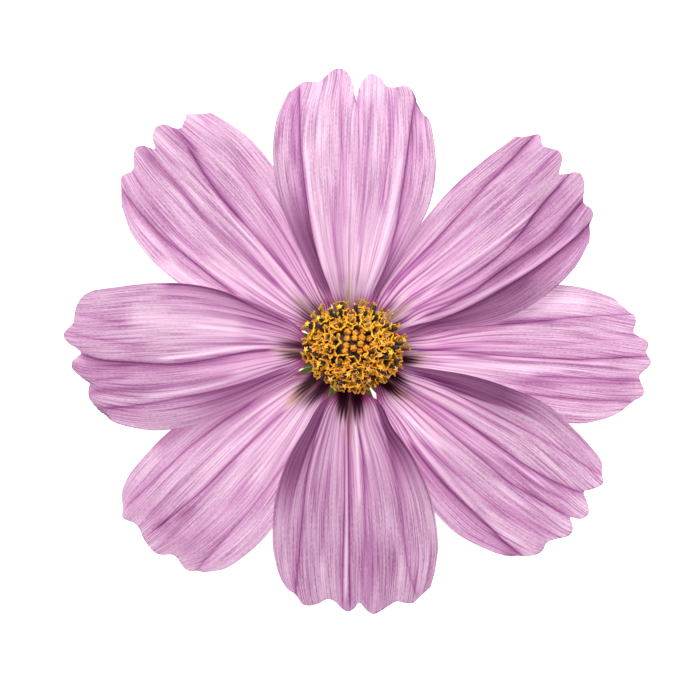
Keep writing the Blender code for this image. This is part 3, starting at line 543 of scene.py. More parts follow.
        angle=180, layer="high", over=(1, 1), deep=(0.15, 0.26), nerves=0.75,
        left=((-1.7, -2.9, -4.1, -5.6, -8.1, -10.2, -11.05), (-10, 29.9), (-8.5, 31.5)),
        right=((1.7, 2.9, 3.9, 5.1, 6.7, 8, 8.45), (8.05, 30.5), (7.8, 33.2)),
        tip=((-7.8, 32.2), (-7.3, 33), (-6.4, 33.6), (-5.2, 33.65), (-4.4, 33.5), (-3.8, 34.2),
             (-3.1, 35.2), (-2.3, 35.85), (-1.4, 35.85), (-0.8, 35.2), (-0.3, 34.7), (0.4, 35.4),
             (1.2, 36.5), (2.2, 37.05), (3, 36.6), (3.7, 35.8), (5, 35.65), (6.2, 35.25), (7.2, 34.5)),
        folds=((0.4, 0.65, 0.9, 0.2, ((-2.3, 7.7), (-3, 9.5), (-3.6, 11), (-5, 15), (-6.1, 19),
                   (-7, 23.5), (-7.6, 27.5), (-7.9, 32))),
               (0.2, 0.2, 0.5, 0.5, ((-2.6, 28), (-2.8, 34.5))),
               (0.4, 0.85, 1.2, 0.2, ((-0.1, 9.5), (-0.2, 12), (-0.6, 14), (-1.5, 18), (-2.1, 22.5),
                   (-2, 26), (-1.4, 31.5), (-0.4, 34.6))),
               (0.25, 0.35, 0.5, 0.4, ((0.3, 26), (0.6, 28.5), (1.5, 33), (2.6, 36.5))),
               (0.2, 0.3, 0.6, 0.6, ((3.2, 28.5), (3.7, 31), (4.8, 35.5))),
               (0, 0.35, 0.9, 0.9, ((-3.6, 28), (-4, 31), (-4.2, 33.5))),
               (0, 0.75, 1.4, 0.2, ((3.1, 7.6), (3.8, 9), (4.6, 11), (6, 14), (7, 16), (7.8, 19),
                   (8.2, 22), (8.2, 24)))),
        shade_bands=((0.5, -1, ((-2.5, 6.5), (-5, 15), (-6.1, 19), (-6.8, 23))),),
        veins=((0.6, 0.5, ((-3.6, 15), (-4.6, 19.5), (-5.3, 25), (-5.5, 31), (-5.8, 33.5))),
               (0.4, 0.4, ((3, 10), (3.3, 12), (4.2, 17.5), (5, 23))),
               (0.4, 0.2, ((1.3, 10), (0.5, 16), (0.2, 23)))),
        pale_and_highlight_lines=((0.3, 1.8, ((2.6, 14), (2.8, 20), (3.8, 26), (4.2, 28))),
               (0.7, 0.2, ((0.2, 10), (0, 14), (-0.9, 19), (-1.5, 24))),
               (0.5, 0.25, ((-2, 9), (-3.9, 14), (-5.6, 20), (-6.6, 26))),
               (0.5, 0.25, ((1, 9), (2, 14), (2.8, 20)))),
        lobes=((0.85, -0.8, 0.6, 8.5), (0.85, 0.6, 0.5, 8.5)),
        tan=((0.8, -0.3, 0.3, 10.8),)),
    "petal_8": dict(
        angle=133.5, layer="low", over=(-1, -1), deep=(0.05, 0.14), nerves=0.7,
        left=((-1.9, -2.9, -3.8, -5.5, -7.6, -9.5, -10.3), (-9.8, 30.5), (-8, 34.7)),
        right=((1.9, 2.8, 3.3, 4.6, 6.6, 8.8, 10.1), (10.6, 30.5), (9.7, 36.3)),
        tip=((-7.3, 35.6), (-6.3, 36.7), (-5.6, 37.6), (-4.8, 38), (-4, 37.75), (-3.3, 37.65),
             (-2.4, 38.4), (-1.5, 39.4), (-0.7, 39.7), (0.1, 39.1), (0.75, 37.75), (1.4, 38.8),
             (2.2, 39.65), (3.2, 40), (4.2, 39.5), (4.8, 38.1), (5.4, 37.6), (6.3, 38), (7.3, 38.5),
             (8.1, 37.7), (9, 36.9)),
        folds=((0.4, 0.7, 0.7, 0.2, ((-5.5, 15), (-6, 17.5), (-6.5, 22), (-6.9, 26), (-7, 29), (-6.7, 33),
                   (-6.1, 36.8))),
               (0.25, 0.3, 1, 1, ((-5, 21), (-5.3, 24), (-5.2, 28), (-4.5, 33), (-3.6, 37.6))),
               (0.35, 0.6, 0.2, 0.8, ((0.8, 9), (1.1, 12), (1.6, 20), (2, 26), (2.8, 30.5), (4, 35),
                   (4.4, 38.6))),
               (0, 0.5, 0.2, 0.4, ((4.3, 33), (4.5, 35), (4.8, 37.5))),
               (0.1, 0.3, 0.5, 0.5, ((7.9, 34), (8.2, 36.5))),
               (0.3, 0.45, 0.4, 0.6, ((3.6, 13), (4.2, 16), (5.1, 21), (6.3, 26), (6.8, 29)))),
        shade_bands=(),
        veins=((0.6, 0.5, ((-0.9, 12), (-1.2, 19), (-1.5, 26), (-0.9, 31), (-0.5, 38))),
               (0.7, 0.5, ((1.7, 22), (2.4, 28.5), (3.8, 34.5))),
               (0.6, 0.18, ((0.5, 17), (0.4, 23), (0.5, 28)))),
        pale_and_highlight_lines=((0.5, 0.2, ((0.5, 11), (0.8, 16), (0.9, 22), (1.4, 27))),
               (0.5, 0.25, ((-4.7, 14), (-5.8, 21), (-6.2, 27))),
               (0.4, 1.2, ((-8.2, 17), (-9.2, 21), (-9.5, 25)))),
        lobes=((0.7, -0.8, 0.6, 8), (0.7, 0.7, 0.6, 7.8)),
        tan=((0.8, -0.2, 0.25, 11.2),)),
}


def across_at(path, v):
    return np.interp(v, path[:, 1], path[:, 0])


def smoothstep(low, high, x):
    t = np.clip((x - low) / (high - low), 0.0, 1.0)
    return t * t * (3.0 - 2.0 * t)


def run_along(points, v):
    """The path's across values at v, and how far it shows there: it fades in and out at its ends."""
    path = smooth_path(points)
    start, end = path[0, 1], path[-1, 1]
    shows = smoothstep(-1.0, 1.5, v - start) * (1 - smoothstep(-1.0, 1.5, v - end))
    return across_at(path, v), shows


def screened(marks, v):
    """Marks laid one over another, each a tone from 0 to 1."""
    clear = np.ones_like(v)
    for mark in marks:
        clear *= 1 - np.clip(mark, 0.0, 1.0)
    return 1 - clear


def crease(u, v, reach_left, reach_right, points):
    middle, shows = run_along(points, v)
    offset = u - middle
    return shows * np.exp(-np.abs(offset) / np.where(offset < 0, reach_left, reach_right))


def shade_band(u, v, side, points):
    """Painted shade on the strip from a path out to the margin, with a crisp inner edge and a long fade at
    its end.
    """
    path = smooth_path(points)
    start, end = path[0, 1], path[-1, 1]
    shows = smoothstep(-1.0, 1.0, v - start) * (1 - smoothstep(-8.0, 2.0, v - end))
    return shows * smoothstep(-0.1, 0.25, side * (u - across_at(path, v)))


def line(u, v, half, points):
    middle, shows = run_along(points, v)
    return shows * np.exp(-((u - middle) / half) ** 2)


def margin(side, across, *last_points):
    """A margin's curve, from the claw's corner out."""
    return smooth_path([(side * CLAW_HALF, CLAW_START), *zip(across, MARGIN_AT), *last_points])


def spread(tip, count):
    """Shares along the tip, closer together where it is steep, so that its notches stay crisp."""
    run = np.abs(np.diff(tip[:, 0]))
    length = np.hypot(*np.diff(tip, axis=0).T)
    place = np.concatenate([[0.0], np.cumsum(run / run.sum() + length / length.sum())]) / 2
    return np.interp(np.linspace(0, 1, count + 1), place, tip[:, 0])


def petal(name, plan, mat):
    # The flat sheet, from its claw to its notched tip.
    left, right = margin(-1, *plan["left"]), margin(1, *plan["right"])
    tip = smooth_path((plan["left"][-1],) + plan["tip"] + (plan["right"][-1],))
    piece, column, t = grid_piece(name + "_blade", PETAL_ACROSS, PETAL_ALONG)
    tip_u = np.interp(column, np.linspace(0, 1, PETAL_ACROSS + 1), spread(tip, PETAL_ACROSS))
    tip_v = np.interp(tip_u, tip[:, 0], tip[:, 1])
    s = (tip_u - tip[0, 0]) / (tip[-1, 0] - tip[0, 0])
    left_v = CLAW_START + t * (tip[0, 1] - CLAW_START)
    right_v = CLAW_START + t * (tip[-1, 1] - CLAW_START)
    chord_v = (1 - s) * tip[0, 1] + s * tip[-1, 1]
    u = (1 - s) * across_at(left, left_v) + s * across_at(right, right_v)
    v = (1 - s) * left_v + s * right_v + t ** 2 * (tip_v - chord_v)

    # How high it stands, how its margins lie over or under its neighbours, and its pleats.
    start, bow, end = LAYERS[plan["layer"]]
    w = np.clip((v - CLAW_START) / (max(q[1] for q in plan["tip"]) - CLAW_START), 0, 1)
    height = (1 - w) ** 2 * start + 2 * w * (1 - w) * bow + w * w * end
    edge = np.where(u < 0, -across_at(left, v), across_at(right, v))
    lift = np.where(u < 0, *[LIFT_OVER if side > 0 else LIFT_UNDER for side in plan["over"]])
    height += lift * np.minimum(np.abs(u) / edge, 1) ** LIFT_CURVE * smoothstep(*LIFT_FROM, v)
    for depth, _, reach_left, reach_right, path in plan["folds"]:
        fade = smoothstep(-1, 5, v - path[0][1]) * smoothstep(7, 12, v)
        height -= depth * fade * crease(u, v, max(reach_left, 0.5), max(reach_right, 0.5), path)
    place_grid(piece, u, v, height, plan["angle"])

    # The marks that its tissue shows, with painted shade, highlights and shadow among them.
    nerve = 0.5 + 0.5 * np.sin(math.tau * NERVES * s + 2 * np.sin(9 * s + plan["angle"]))
    frayed = v + FRAY * (nerve - 0.5)
    for mark, tones in {
        "shade": [tone * crease(u, v, a, b, path) for _, tone, a, b, path in plan["folds"]]
        + [CREASE_SHADE_TONE * tone * line(u, v, CREASE_LINE, path) for _, tone, _, _, path in plan["folds"]]
        + [tone * shade_band(u, v, side, path) for tone, side, path in plan["shade_bands"]],
        "vein": [tone * line(u, v, half, path) for tone, half, path in plan["veins"]],
        "pale_and_highlight": [tone * line(u, v, half, path) for tone, half, path in plan["pale_and_highlight_lines"]],
        "base_spot_and_shade": [tone * np.exp(-np.abs((u - at) / half) ** 5)
                      * (1 - smoothstep(*LOBE_FADE, frayed - end))
                      for tone, at, half, end in plan["lobes"]],
        "bract_shadow_streak": [tone * np.exp(-((u - at) / half) ** 2) * smoothstep(*TAN_START, v)
                   * (1 - smoothstep(*TAN_FADE, frayed - end)) for tone, at, half, end in plan["tan"]],
    }.items():
        add_attribute(piece, mark, "FLOAT", screened(tones, v))
    add_attribute(piece, "deep", "FLOAT", np.interp(v, DEEP_AT, plan["deep"]))
    add_attribute(piece, "claw", "FLOAT", CLAW_TONE * (1 - smoothstep(*CLAW_FADE, frayed)))
    add_attribute(piece, "grain", "FLOAT_VECTOR",
                  np.stack([s * GRAIN_UNITS + plan["angle"], v, 0 * v], axis=1))
    add_attribute(piece, "near_claw", "FLOAT", plan["nerves"] * (1 - smoothstep(*NERVES_FADE, v)))
    give_wall(piece, PETAL_THICK)
    finish(piece, mat, "petal", name)


# Living petal tissue: pale mauve pink and satin, thin enough for light to come through, with
# fine lengthwise veins a quarter of a millimetre apart. Painted shade darkens it to purple in the
# creases and where a margin lies double over a neighbour, and near the claw its nerves stand out
# white between magenta lines.
petal_skin, tree = new_material("living_petal_tissue")
grain = add_node(tree, "Attribute", {"attribute_name": "grain"})
fine = drawn_out_noise(grain, 7.0, 0.12, 2.0, 0.6)
total = add_node(tree, "Math", {"operation": "MULTIPLY"}, {1: 0.5}, {0: fine.outputs["Fac"]})
for noise, share in ((drawn_out_noise(grain, 3.0, 0.04, 1.0), 0.12),
                     (drawn_out_noise(grain, 10.0, 2.2, 0.0), 0.12),
                     (drawn_out_noise(grain, 0.9, 0.02, 1.0), 0.06)):
    total = add_node(tree, "Math", {"operation": "MULTIPLY_ADD"}, {1: share},
                     {0: noise.outputs["Fac"], 2: total.outputs["Value"]})
body = add_node(tree, "ValToRGB", links={"Fac": total.outputs["Value"]})
set_ramp(body, ((0.33, "#F2E6EE"), (0.4, "#DFC8D8"), (0.48, "#BE8EB4")))
near = add_node(tree, "Attribute", {"attribute_name": "near_claw"})
nerves = add_node(tree, "Mix",
                  links={0: near.outputs["Fac"], 2: drawn_out_noise(grain, 2.2, 0.02, 2.0).outputs["Fac"],
                         3: drawn_out_noise(grain, 1.3, 0.01, 1.0, 0.6).outputs["Fac"]})
grainy = add_node(tree, "Math", {"operation": "MULTIPLY_ADD"}, {1: 0.4},
                  {0: total.outputs["Value"], 2: nerves.outputs["Result"]})
nerve_hue = add_node(tree, "ValToRGB", links={"Fac": grainy.outputs["Value"]})
set_ramp(nerve_hue, ((0.56, "#A84C9A"), (0.62, "#D49CCA"), (0.66, "#EED4E8"), (0.7, "#FFF4FA")))
base = add_node(tree, "Mix", {"data_type": "RGBA"},
                links={0: near.outputs["Fac"], 6: body.outputs["Color"], 7: nerve_hue.outputs["Color"]})
depth = add_node(tree, "Attribute", {"attribute_name": "deep"})
dusky = add_node(tree, "Mix", {"data_type": "RGBA", "blend_type": "MULTIPLY"},
                 {7: linear("#B288AC")}, {0: depth.outputs["Fac"], 6: base.outputs[2]})


def hued(tree, name, stops):
    """What the mark of this name says from 0 to 1, and its colour between the stops."""
    mark = add_node(tree, "Attribute", {"attribute_name": name})
    ramp = add_node(tree, "ValToRGB", links={"Fac": mark.outputs["Fac"]})
    set_ramp(ramp, stops)
    return mark.outputs["Fac"], ramp.outputs["Color"]


def marked(under, name, blend, stops):
    """The colour under it with the mark of this name laid over it."""
    shows, hue = hued(tree, name, stops)
    return add_node(tree, "Mix", {"data_type": "RGBA", "blend_type": blend},
                    links={0: shows, 6: under, 7: hue}).outputs[2]


colour = marked(dusky.outputs[2], "claw", "MIX", ((0.0, "#B8409E"), (0.8, "#C00E90")))
colour = marked(colour, "vein", "MULTIPLY", ((0.0, "#E0A8DC"), (1.0, "#B468AC")))
# partly a paler tone, partly painted highlights on the ridges beside the creases and painted light over
# shadows
colour = marked(colour, "pale_and_highlight", "MIX", ((0.0, "#FFF8FC"), (1.0, "#FFF8FC")))
ridges = add_node(tree, "ValToRGB", links={"Fac": grainy.outputs["Value"]})
set_ramp(ridges, ((0.68, "#000000"), (0.71, "#A0A0A0")))
shown = add_node(tree, "Math", {"operation": "MULTIPLY"},
                 links={0: ridges.outputs["Color"], 1: near.outputs["Fac"]})
lined = add_node(tree, "Mix", {"data_type": "RGBA"}, {7: linear("#F6D8E4")},
                 {0: shown.outputs["Value"], 6: colour})
# painted shade: purple in the creases and on the margins that lie double over a neighbour
colour = marked(lined.outputs[2], "shade", "MULTIPLY",
                ((0.2, "#EDB1E9"), (0.6, "#C97BC0"), (1.0, "#86307A")))
# painted shadow: the inner bract's tip seen through the petal, as a tan streak
colour = marked(colour, "bract_shadow_streak", "MIX", ((0.2, "#ECD6C2"), (0.9, "#C6A08A")))
# the maroon base mark: partly the petal's own colour, partly painted shade where the calyx beneath blocks
# the light from below
colour = marked(colour, "base_spot_and_shade", "MIX", ((0.3, "#8A1A58"), (0.9, "#4E082C")))
tissue_surface(tree, colour, roughness=0.6, bumps=(0.5, 0.04, fine.outputs["Fac"]), light_through=0.7,
               gloss=0.2)

for name, plan in PETALS.items():
    petal(name, plan, petal_skin)

# Disc: the dome in the middle of the head, where the florets stand packed in spirals. Its own
# surface shows only as gaps between the florets and is coloured dark purple-brown as painted shade
# for those gaps.

CORE_R, CORE_TOP, CORE_FLARE = 5.5, 10.9, 7.5
CORE_SIDES = 64
CORE_SHIFT = Vector((0.4, -0.2, 0.0))     # the dome stands a little off the flower's axis
CORE_SQUASH = 0.88                        # and is a little narrower from petal 1 to petal 5
NECK_TOP, SHOULDER = 6.7, 1.2             # over this height the core takes up the shift and squash
RIM_OVER_FLARE, DOME_CURVE = 0.8, 2.4
RIM_LEAN, LEAN_CURVE = 62.0, 1.7          # degrees that a floret on the rim leans outwards
DOME_SHARES = (1.0, 0.92, 0.8, 0.65, 0.5, 0.35, 0.2, 0.08)
CORE_SUNK, CORE_INSIDE = 0.25, 0.95       # the core's skin lies a little inside the florets' feet
NECK = ((4.2, 4.9), (4.25, NECK_TOP), (5.0, CORE_FLARE))


def dome_place(turn, radius):
    """The point of the dome at this direction and radius, and the way a floret there leans."""
    share = radius / CORE_R
    height = CORE_TOP - (CORE_TOP - CORE_FLARE - RIM_OVER_FLARE) * share ** DOME_CURVE
    lean = math.radians(RIM_LEAN) * share ** LEAN_CURVE
    foot = Vector((radius * math.cos(turn), radius * math.sin(turn) * CORE_SQUASH, height))
    return foot, Vector((math.sin(lean) * math.cos(turn), math.sin(lean) * math.sin(turn), math.cos(lean)))


dome_line = [dome_place(0.0, share * CORE_R * CORE_INSIDE)[0] for share in DOME_SHARES]
core = turned("disc_core", NECK + tuple((p.x, p.z - CORE_SUNK) for p in dome_line), CORE_SIDES)
for vert in core.data.vertices:
    share = min(max((vert.co.z / MM - NECK_TOP) / SHOULDER, 0.0), 1.0)
    vert.co.y = AXIS.y + (vert.co.y - AXIS.y) * (1 + share * (CORE_SQUASH - 1))
    vert.co += CORE_SHIFT * MM * share

# Disc tissue: dark, moist and dull, with browner pits half a millimetre wide; its darkness is
# painted shade for the gaps between the florets.
core_gap_shade, tree = new_material("disc_gap_painted_shade")
_, gap_shade = speckled(tree, 1800.0, 3.0, ((0.4, "#1E1018"), (0.65, "#5E3C28")))
tissue_surface(tree, gap_shade, roughness=0.7)
finish(core, core_gap_shade, "floret", "disc_florets")

# Florets: small five-lobed tubes of waxy golden tissue, yellow at the lobes' edges, with painted
# shade browning them down inside and towards their feet. The middle ones are still round closed
# buds, and the others open towards the rim.

BUD_R, BUD_LOBES = 0.46, 0.33
LARGE_THICK, SMALL_THICK = 0.22, 0.19
BUD_PLACES = ((142, 1.25), (93, 0.85), (48, 1.3), (26, 2.0), (-169, 1.1), (1, 0.75), (-22, 1.5),
              (-105, 0.65), (-60, 1.25), (88, 1.65), (118, 2.0), (-140, 1.6), (62, 2.1), (0, 2.3))
LARGE_PLACES = ((174, 2.2), (128, 3.0), (99, 2.9), (72, 3.0), (46, 3.2), (20, 3.3), (-9, 3.2), (-38, 2.6),
                (-68, 2.3), (-100, 2.3), (-130, 2.5), (-160, 3.1), (-84, 3.6), (-52, 3.9), (-116, 3.7),
                (150, 3.9), (-26, 4.4), (4, 4.7), (-178, 4.3), (-146, 4.2))
TUBE_PLACES = ((119, 3.9), (73, 4.1), (150, 4.3), (54, 4.2), (37, 4.2), (27, 4.9), (124, 4.7), (105, 5.0),
               (87, 4.6), (62, 5.0), (-165, 4.4), (-155, 3.6), (-135, 4.9), (-3, 4.2), (-20, 4.8),
               (-24, 3.6))
STAR_PLACES = ((138, 4.7), (108, 4.4), (-174, 4.8), (-172, 3.2), (-17, 3.9), (7, 4.8), (-45, 3.9),
               (-64, 3.2), (-105, 3.9), (-118, 3.2), (-84, 4.6), (-70, 4.3), (-125, 4.6), (-148, 4.1),
               (-32, 4.8), (-60, 3.6), (-88, 3.4), (-105, 4.7), (-50, 4.5), (152, 5.2))
SMALL_COUNT, SMALL_ZONE = 150, (2.9, 5.6)
SMALL_APART = 0.78      # closest that two small florets' feet stand, in mm
GOLDEN_ANGLE = 137.508
# painted shade: the tint deepens towards petal 5, the side away from the light
SHADE_SLOPE = 0.12       # the florets' tint deepens this much a millimetre, towards petal 5
RUFFLE_TURN = 4.5
draw = random.Random(7)


def ring_shape(name, sides, rings):
    """An open tube at the origin in mm scale, extruded ring by ring: (radius, height) for every
    ring, or (radius of lobes, radius of valleys, height of lobes, height of valleys)."""
    piece = start_ring(name, sides, rings[0][0], 0.0, 0.0, rings[0][1], "NOTHING")
    for _ in rings[1:]:
        raise_ring(0.1)
    bpy.ops.object.mode_set(mode="OBJECT")
    for i, vert in enumerate(piece.data.vertices):
        ring = rings[i // sides]
        turn = math.tau * (i % sides) / sides
        if len(ring) == 2:
            radius, height = ring
        else:
            lobe = 0.5 + 0.5 * math.cos(5 * turn)
            radius = ring[1] + (ring[0] - ring[1]) * lobe
            height = ring[3] + (ring[2] - ring[3]) * lobe
        vert.co = Vector((radius * math.cos(turn), radius * math.sin(turn), height)) * MM
    add_attribute(piece, "open_end", "FLOAT",
                  [(i // sides) / (len(rings) - 1) for i in range(len(piece.data.vertices))])
    return piece


def ruffle(piece, much):
    """Bends the piece a little every way, by this many mm, so that no two copies are alike."""
    at = read_points(piece) / MM
    phases = [draw.uniform(0.0, math.tau) for _ in range(6)]
    bend = np.sin(RUFFLE_TURN * at[:, [1, 2, 0]] + phases[:3])
    bend += 0.3 * np.sin(2.3 * RUFFLE_TURN * at[:, [2, 0, 1]] + phases[3:])
    move_points(piece, at + much * bend)


def stand_copies(name, model, places, scale, sink, tilt, ruffled=0.0):
    """Copies of the model stood on the dome at (degrees, radius), each with its own tint, partly painted
    shade.
    """
    copies = []
    for degrees, radius in places:
        copy = model.copy()
        copy.data = model.data.copy()
        bpy.context.scene.collection.objects.link(copy)
        foot, lean = dome_place(math.radians(degrees), radius)
        size = draw.uniform(*scale)
        wobble = Vector((draw.uniform(-tilt, tilt), draw.uniform(-tilt, tilt), 0.0))
        lean = (lean + wobble).normalized()
        spin = Matrix.Rotation(draw.uniform(0.0, math.tau), 4, "Z")
        copy.matrix_world = (Matrix.Translation(AXIS + (foot + CORE_SHIFT - lean * sink) * MM)
                             @ lean.to_track_quat("Z", "Y").to_matrix().to_4x4() @ spin
                             @ Matrix.Scale(size, 4))
        pick(copy)
        bpy.ops.object.transform_apply(location=True, rotation=True, scale=True)
        ruffle(copy, ruffled)
        # each copy's tint: part at random, part painted shade that deepens towards petal 5
        tint_and_shade = 0.4 * draw.random() + 0.6 * min(max(0.4 - SHADE_SLOPE * foot.y, 0.0), 1.0)
        add_attribute(copy, "tint_and_shade", "FLOAT", [tint_and_shade] * len(copy.data.vertices))
        copies.append(copy)
    bpy.data.objects.remove(model)
    return join(name, copies)


def mark_inside(piece):
    """Marks which points are on the inside wall."""
    at, facing = read_points(piece), read_points(piece, "normal")
    inwards = -(at[:, :2] * facing[:, :2]).sum(axis=1) / np.hypot(at[:, 0], at[:, 1])
    add_attribute(piece, "inside", "FLOAT", np.clip(inwards * 2, 0, 1))


def spiral(count, inner, outer):
    """Evenly packed (degrees, radius) places between two radii, in the order that florets grow."""
    return [(GOLDEN_ANGLE * n % 360, math.sqrt(inner ** 2 + (outer ** 2 - inner ** 2) * (n + 0.5) / count))
            for n in range(count)]


deselect()
bpy.ops.mesh.primitive_uv_sphere_add(segments=20, ring_count=12, radius=BUD_R * MM)
bud = bpy.context.active_object
for vert in bud.data.vertices:      # five lobes swell its upper half, whose top is pressed in
    turn = math.atan2(vert.co.y, vert.co.x)
    upper = max(vert.co.z / (BUD_R * MM), 0.0)
    vert.co *= 1 + BUD_LOBES * upper * (1.3 - upper) * math.cos(5 * turn)
    vert.co.z *= 1.15 - 0.6 * max(upper - 0.6, 0.0)
add_attribute(bud, "open_end", "FLOAT", [0.42 + 0.22 * v.co.z / (BUD_R * MM) for v in bud.data.vertices])
add_attribute(bud, "inside", "FLOAT", [0.0] * len(bud.data.vertices))
buds = stand_copies("floret_buds", bud, BUD_PLACES, scale=(0.9, 1.1), sink=-0.3, tilt=0.08)

large = ring_shape("large", 20, ((0.36, -0.5), (0.42, 0.2), (0.60, 0.50, 0.75, 0.6),
                                 (0.92, 0.54, 1.05, 0.72), (1.22, 0.56, 1.32, 0.78),
                                 (1.38, 0.57, 1.42, 0.80)))
face_outwards(large)
give_wall(large, LARGE_THICK, smoothings=1)
mark_inside(large)
large_open = stand_copies("florets_opening", large, LARGE_PLACES, scale=(0.75, 1.02), sink=0.05, tilt=0.4,
                          ruffled=0.1)

small_places = list(TUBE_PLACES + STAR_PLACES)
for degrees, radius in spiral(SMALL_COUNT, *SMALL_ZONE):
    foot = dome_place(math.radians(degrees), radius)[0]
    taken = [dome_place(math.radians(a), r)[0] for a, r in small_places]
    if min((foot - other).length for other in taken) > SMALL_APART:
        small_places.append((degrees, radius))
small = ring_shape("small", 20, ((0.26, -0.5), (0.30, 0.3), (0.36, 0.33, 0.7, 0.7),
                                 (0.56, 0.38, 0.95, 0.85), (0.80, 0.42, 1.05, 0.95),
                                 (0.92, 0.43, 1.02, 0.98)))
face_outwards(small)
give_wall(small, SMALL_THICK, smoothings=1)
mark_inside(small)
small_open = stand_copies("florets_open", small, small_places, scale=(0.75, 1.1), sink=0.1, tilt=0.45,
                          ruffled=0.1)

# Floret tissue: waxy and golden, yellower towards its open end, with painted shade that browns it
# towards its foot and darkens it down inside; a tint, part at random and part painted shade, makes
# it more orange towards petal 5; and it is stained in small purplish blotches below the lobes.
floret_gold, tree = new_material("waxy_golden_floret")
# the outside: painted shade browns it towards the foot, where the florets crowd
_, outside_with_painted_shade = hued(tree, "open_end", ((0.0, "#6A4A26"), (0.4, "#BE8428"), (0.7, "#F8AE1A"),
                                     (1.0, "#FFCC1E")))
# the inside wall: painted shade darkens it down in the tube
_, inside = hued(tree, "open_end", ((0.0, "#2A1C18"), (0.4, "#7E6238"), (0.7, "#B88838"), (0.84, "#F8AE1A"),
                                    (1.0, "#FFCC1E")))
wall = add_node(tree, "Attribute", {"attribute_name": "inside"})
sides = add_node(tree, "Mix", {"data_type": "RGBA"}, links={0: wall.outputs["Fac"], 6: outside_with_painted_shade, 7: inside})
tint_and_shade = add_node(tree, "Attribute", {"attribute_name": "tint_and_shade"})
# the tint with its painted shade turns it more orange towards petal 5
orange = add_node(tree, "Mix", {"data_type": "RGBA", "blend_type": "MULTIPLY"},
                  {7: linear("#F2C6B4")}, {0: tint_and_shade.outputs["Fac"], 6: sides.outputs[2]})
_, stain = speckled(tree, 2600.0, 2.0, ((0.38, "#5A4450"), (0.5, "#FFFFFF")))
_, below = hued(tree, "open_end", ((0.6, "#E0E0E0"), (0.9, "#202020")))
stained = add_node(tree, "Mix", {"data_type": "RGBA", "blend_type": "MULTIPLY"},
                   links={0: below, 6: orange.outputs[2], 7: stain})
tissue_surface(tree, stained.outputs[2], roughness=0.4)
for piece in (buds, large_open, small_open):
    finish(piece, floret_gold, "floret", "disc_florets")

# Chaff scales: narrow pointed papery scales that stand between the florets and sheltered them in
# bud. They are dry and translucent, amber below with yellow tips.

SCALE_COUNT, SCALE_ZONE = 70, (2.6, 5.5)
SCALE_LONG, SCALE_HALF, SCALE_THICK = 2.0, 0.24, 0.06
SCALE_CUP, SCALE_BEND, SCALE_FOOT = 0.12, 0.3, 0.5

chaff, s_share, t_share = grid_piece("scale", 4, 8)
taper = np.sqrt(np.clip(1 - t_share ** 3, 0.0, 1.0)) * SCALE_HALF + 0.02
side = 2 * s_share - 1
move_points(chaff, np.stack([side * taper, SCALE_CUP * side ** 2 - SCALE_BEND * t_share ** 3,
                             t_share * SCALE_LONG - SCALE_FOOT], axis=1))
add_attribute(chaff, "tip", "FLOAT", t_share)
face_outwards(chaff)
give_wall(chaff, SCALE_THICK)
scales = stand_copies("chaff_scales", chaff, spiral(SCALE_COUNT, *SCALE_ZONE), scale=(0.75, 1.05),
                      sink=0.15, tilt=0.35)

# Dry scale tissue: amber and thin enough to glow a little, turning yellow towards its tip.
papery_amber, tree = new_material("amber_chaff_scale")
_, amber = hued(tree, "tip", ((0.3, "#8A5A22"), (0.7, "#D98E1E"), (1.0, "#FFC31E")))
tissue_surface(tree, amber, roughness=0.5, light_through=0.3)
finish(scales, papery_amber, "floret", "disc_florets")

# Anther tubes: the near-black five-sided columns that push up out of the open florets, each
# tipped with a little star of bright yellow pollen when it is ripe.

tube = ring_shape("tube", 10, ((0.20, -0.2), (0.24, 0.6), (0.28, 0.22, 1.3, 1.3), (0.30, 0.21, 1.95, 1.9),
                               (0.14, 0.06, 2.1, 1.95), (0.02, 0.02, 2.0, 1.95)))
edit_all(tube)
bpy.ops.mesh.select_all(action="DESELECT")
bpy.ops.mesh.select_non_manifold()
bpy.ops.mesh.edge_face_add()
bpy.ops.object.mode_set(mode="OBJECT")
face_outwards(tube)
tubes = stand_copies("anther_tubes", tube, TUBE_PLACES + STAR_PLACES, scale=(0.85, 1.05), sink=0.1,
                     tilt=0.22)

# Anther wall: smooth and near black, a little browner towards petal 5 with the tint and its painted shade.
anther_black, tree = new_material("dark_anther_wall")
_, black = hued(tree, "tint_and_shade", ((0.0, "#15131A"), (1.0, "#35222A")))
tissue_surface(tree, black, roughness=0.5)
finish(tubes, anther_black, "floret", "disc_florets")

# Pollen stars: the spread lobes at the top of a ripe anther tube, dusted with bright pollen.

STAR_THICK = 0.13

star = ring_shape("star", 10, ((0.04, 2.06), (0.16, 0.10, 2.12, 2.1), (0.46, 0.17, 2.06, 2.12)))
edit_all(star)
bpy.ops.mesh.remove_doubles(threshold=0.001 * MM)
bpy.ops.object.mode_set(mode="OBJECT")
face_outwards(star)
give_wall(star, STAR_THICK)
stars = stand_copies("pollen_stars", star, STAR_PLACES, scale=(0.9, 1.1), sink=0.1, tilt=0.22)

# Pollen: a dull, sticky yellow dust in grains a tenth of a millimetre wide.
pollen, tree = new_material("dusty_yellow_pollen")
place = add_node(tree, "TexCoord")
dust = add_node(tree, "TexNoise", None, {"Scale": 9000.0, "Detail": 2.0},
                {"Vector": place.outputs["Object"]})
# the pollen turns orange with the tint, part at random and part painted shade towards petal 5
_, yellow = hued(tree, "tint_and_shade", ((0.3, "#FFD02A"), (0.9, "#EE9A48")))
tissue_surface(tree, yellow, roughness=0.8, bumps=(0.5, 0.03, dust.outputs["Fac"]))
finish(stars, pollen, "floret", "disc_florets")

# Styles: on the rim the oldest florets have pushed out golden-olive stalks that fork into two
# short curled arms, furry with stuck pollen.

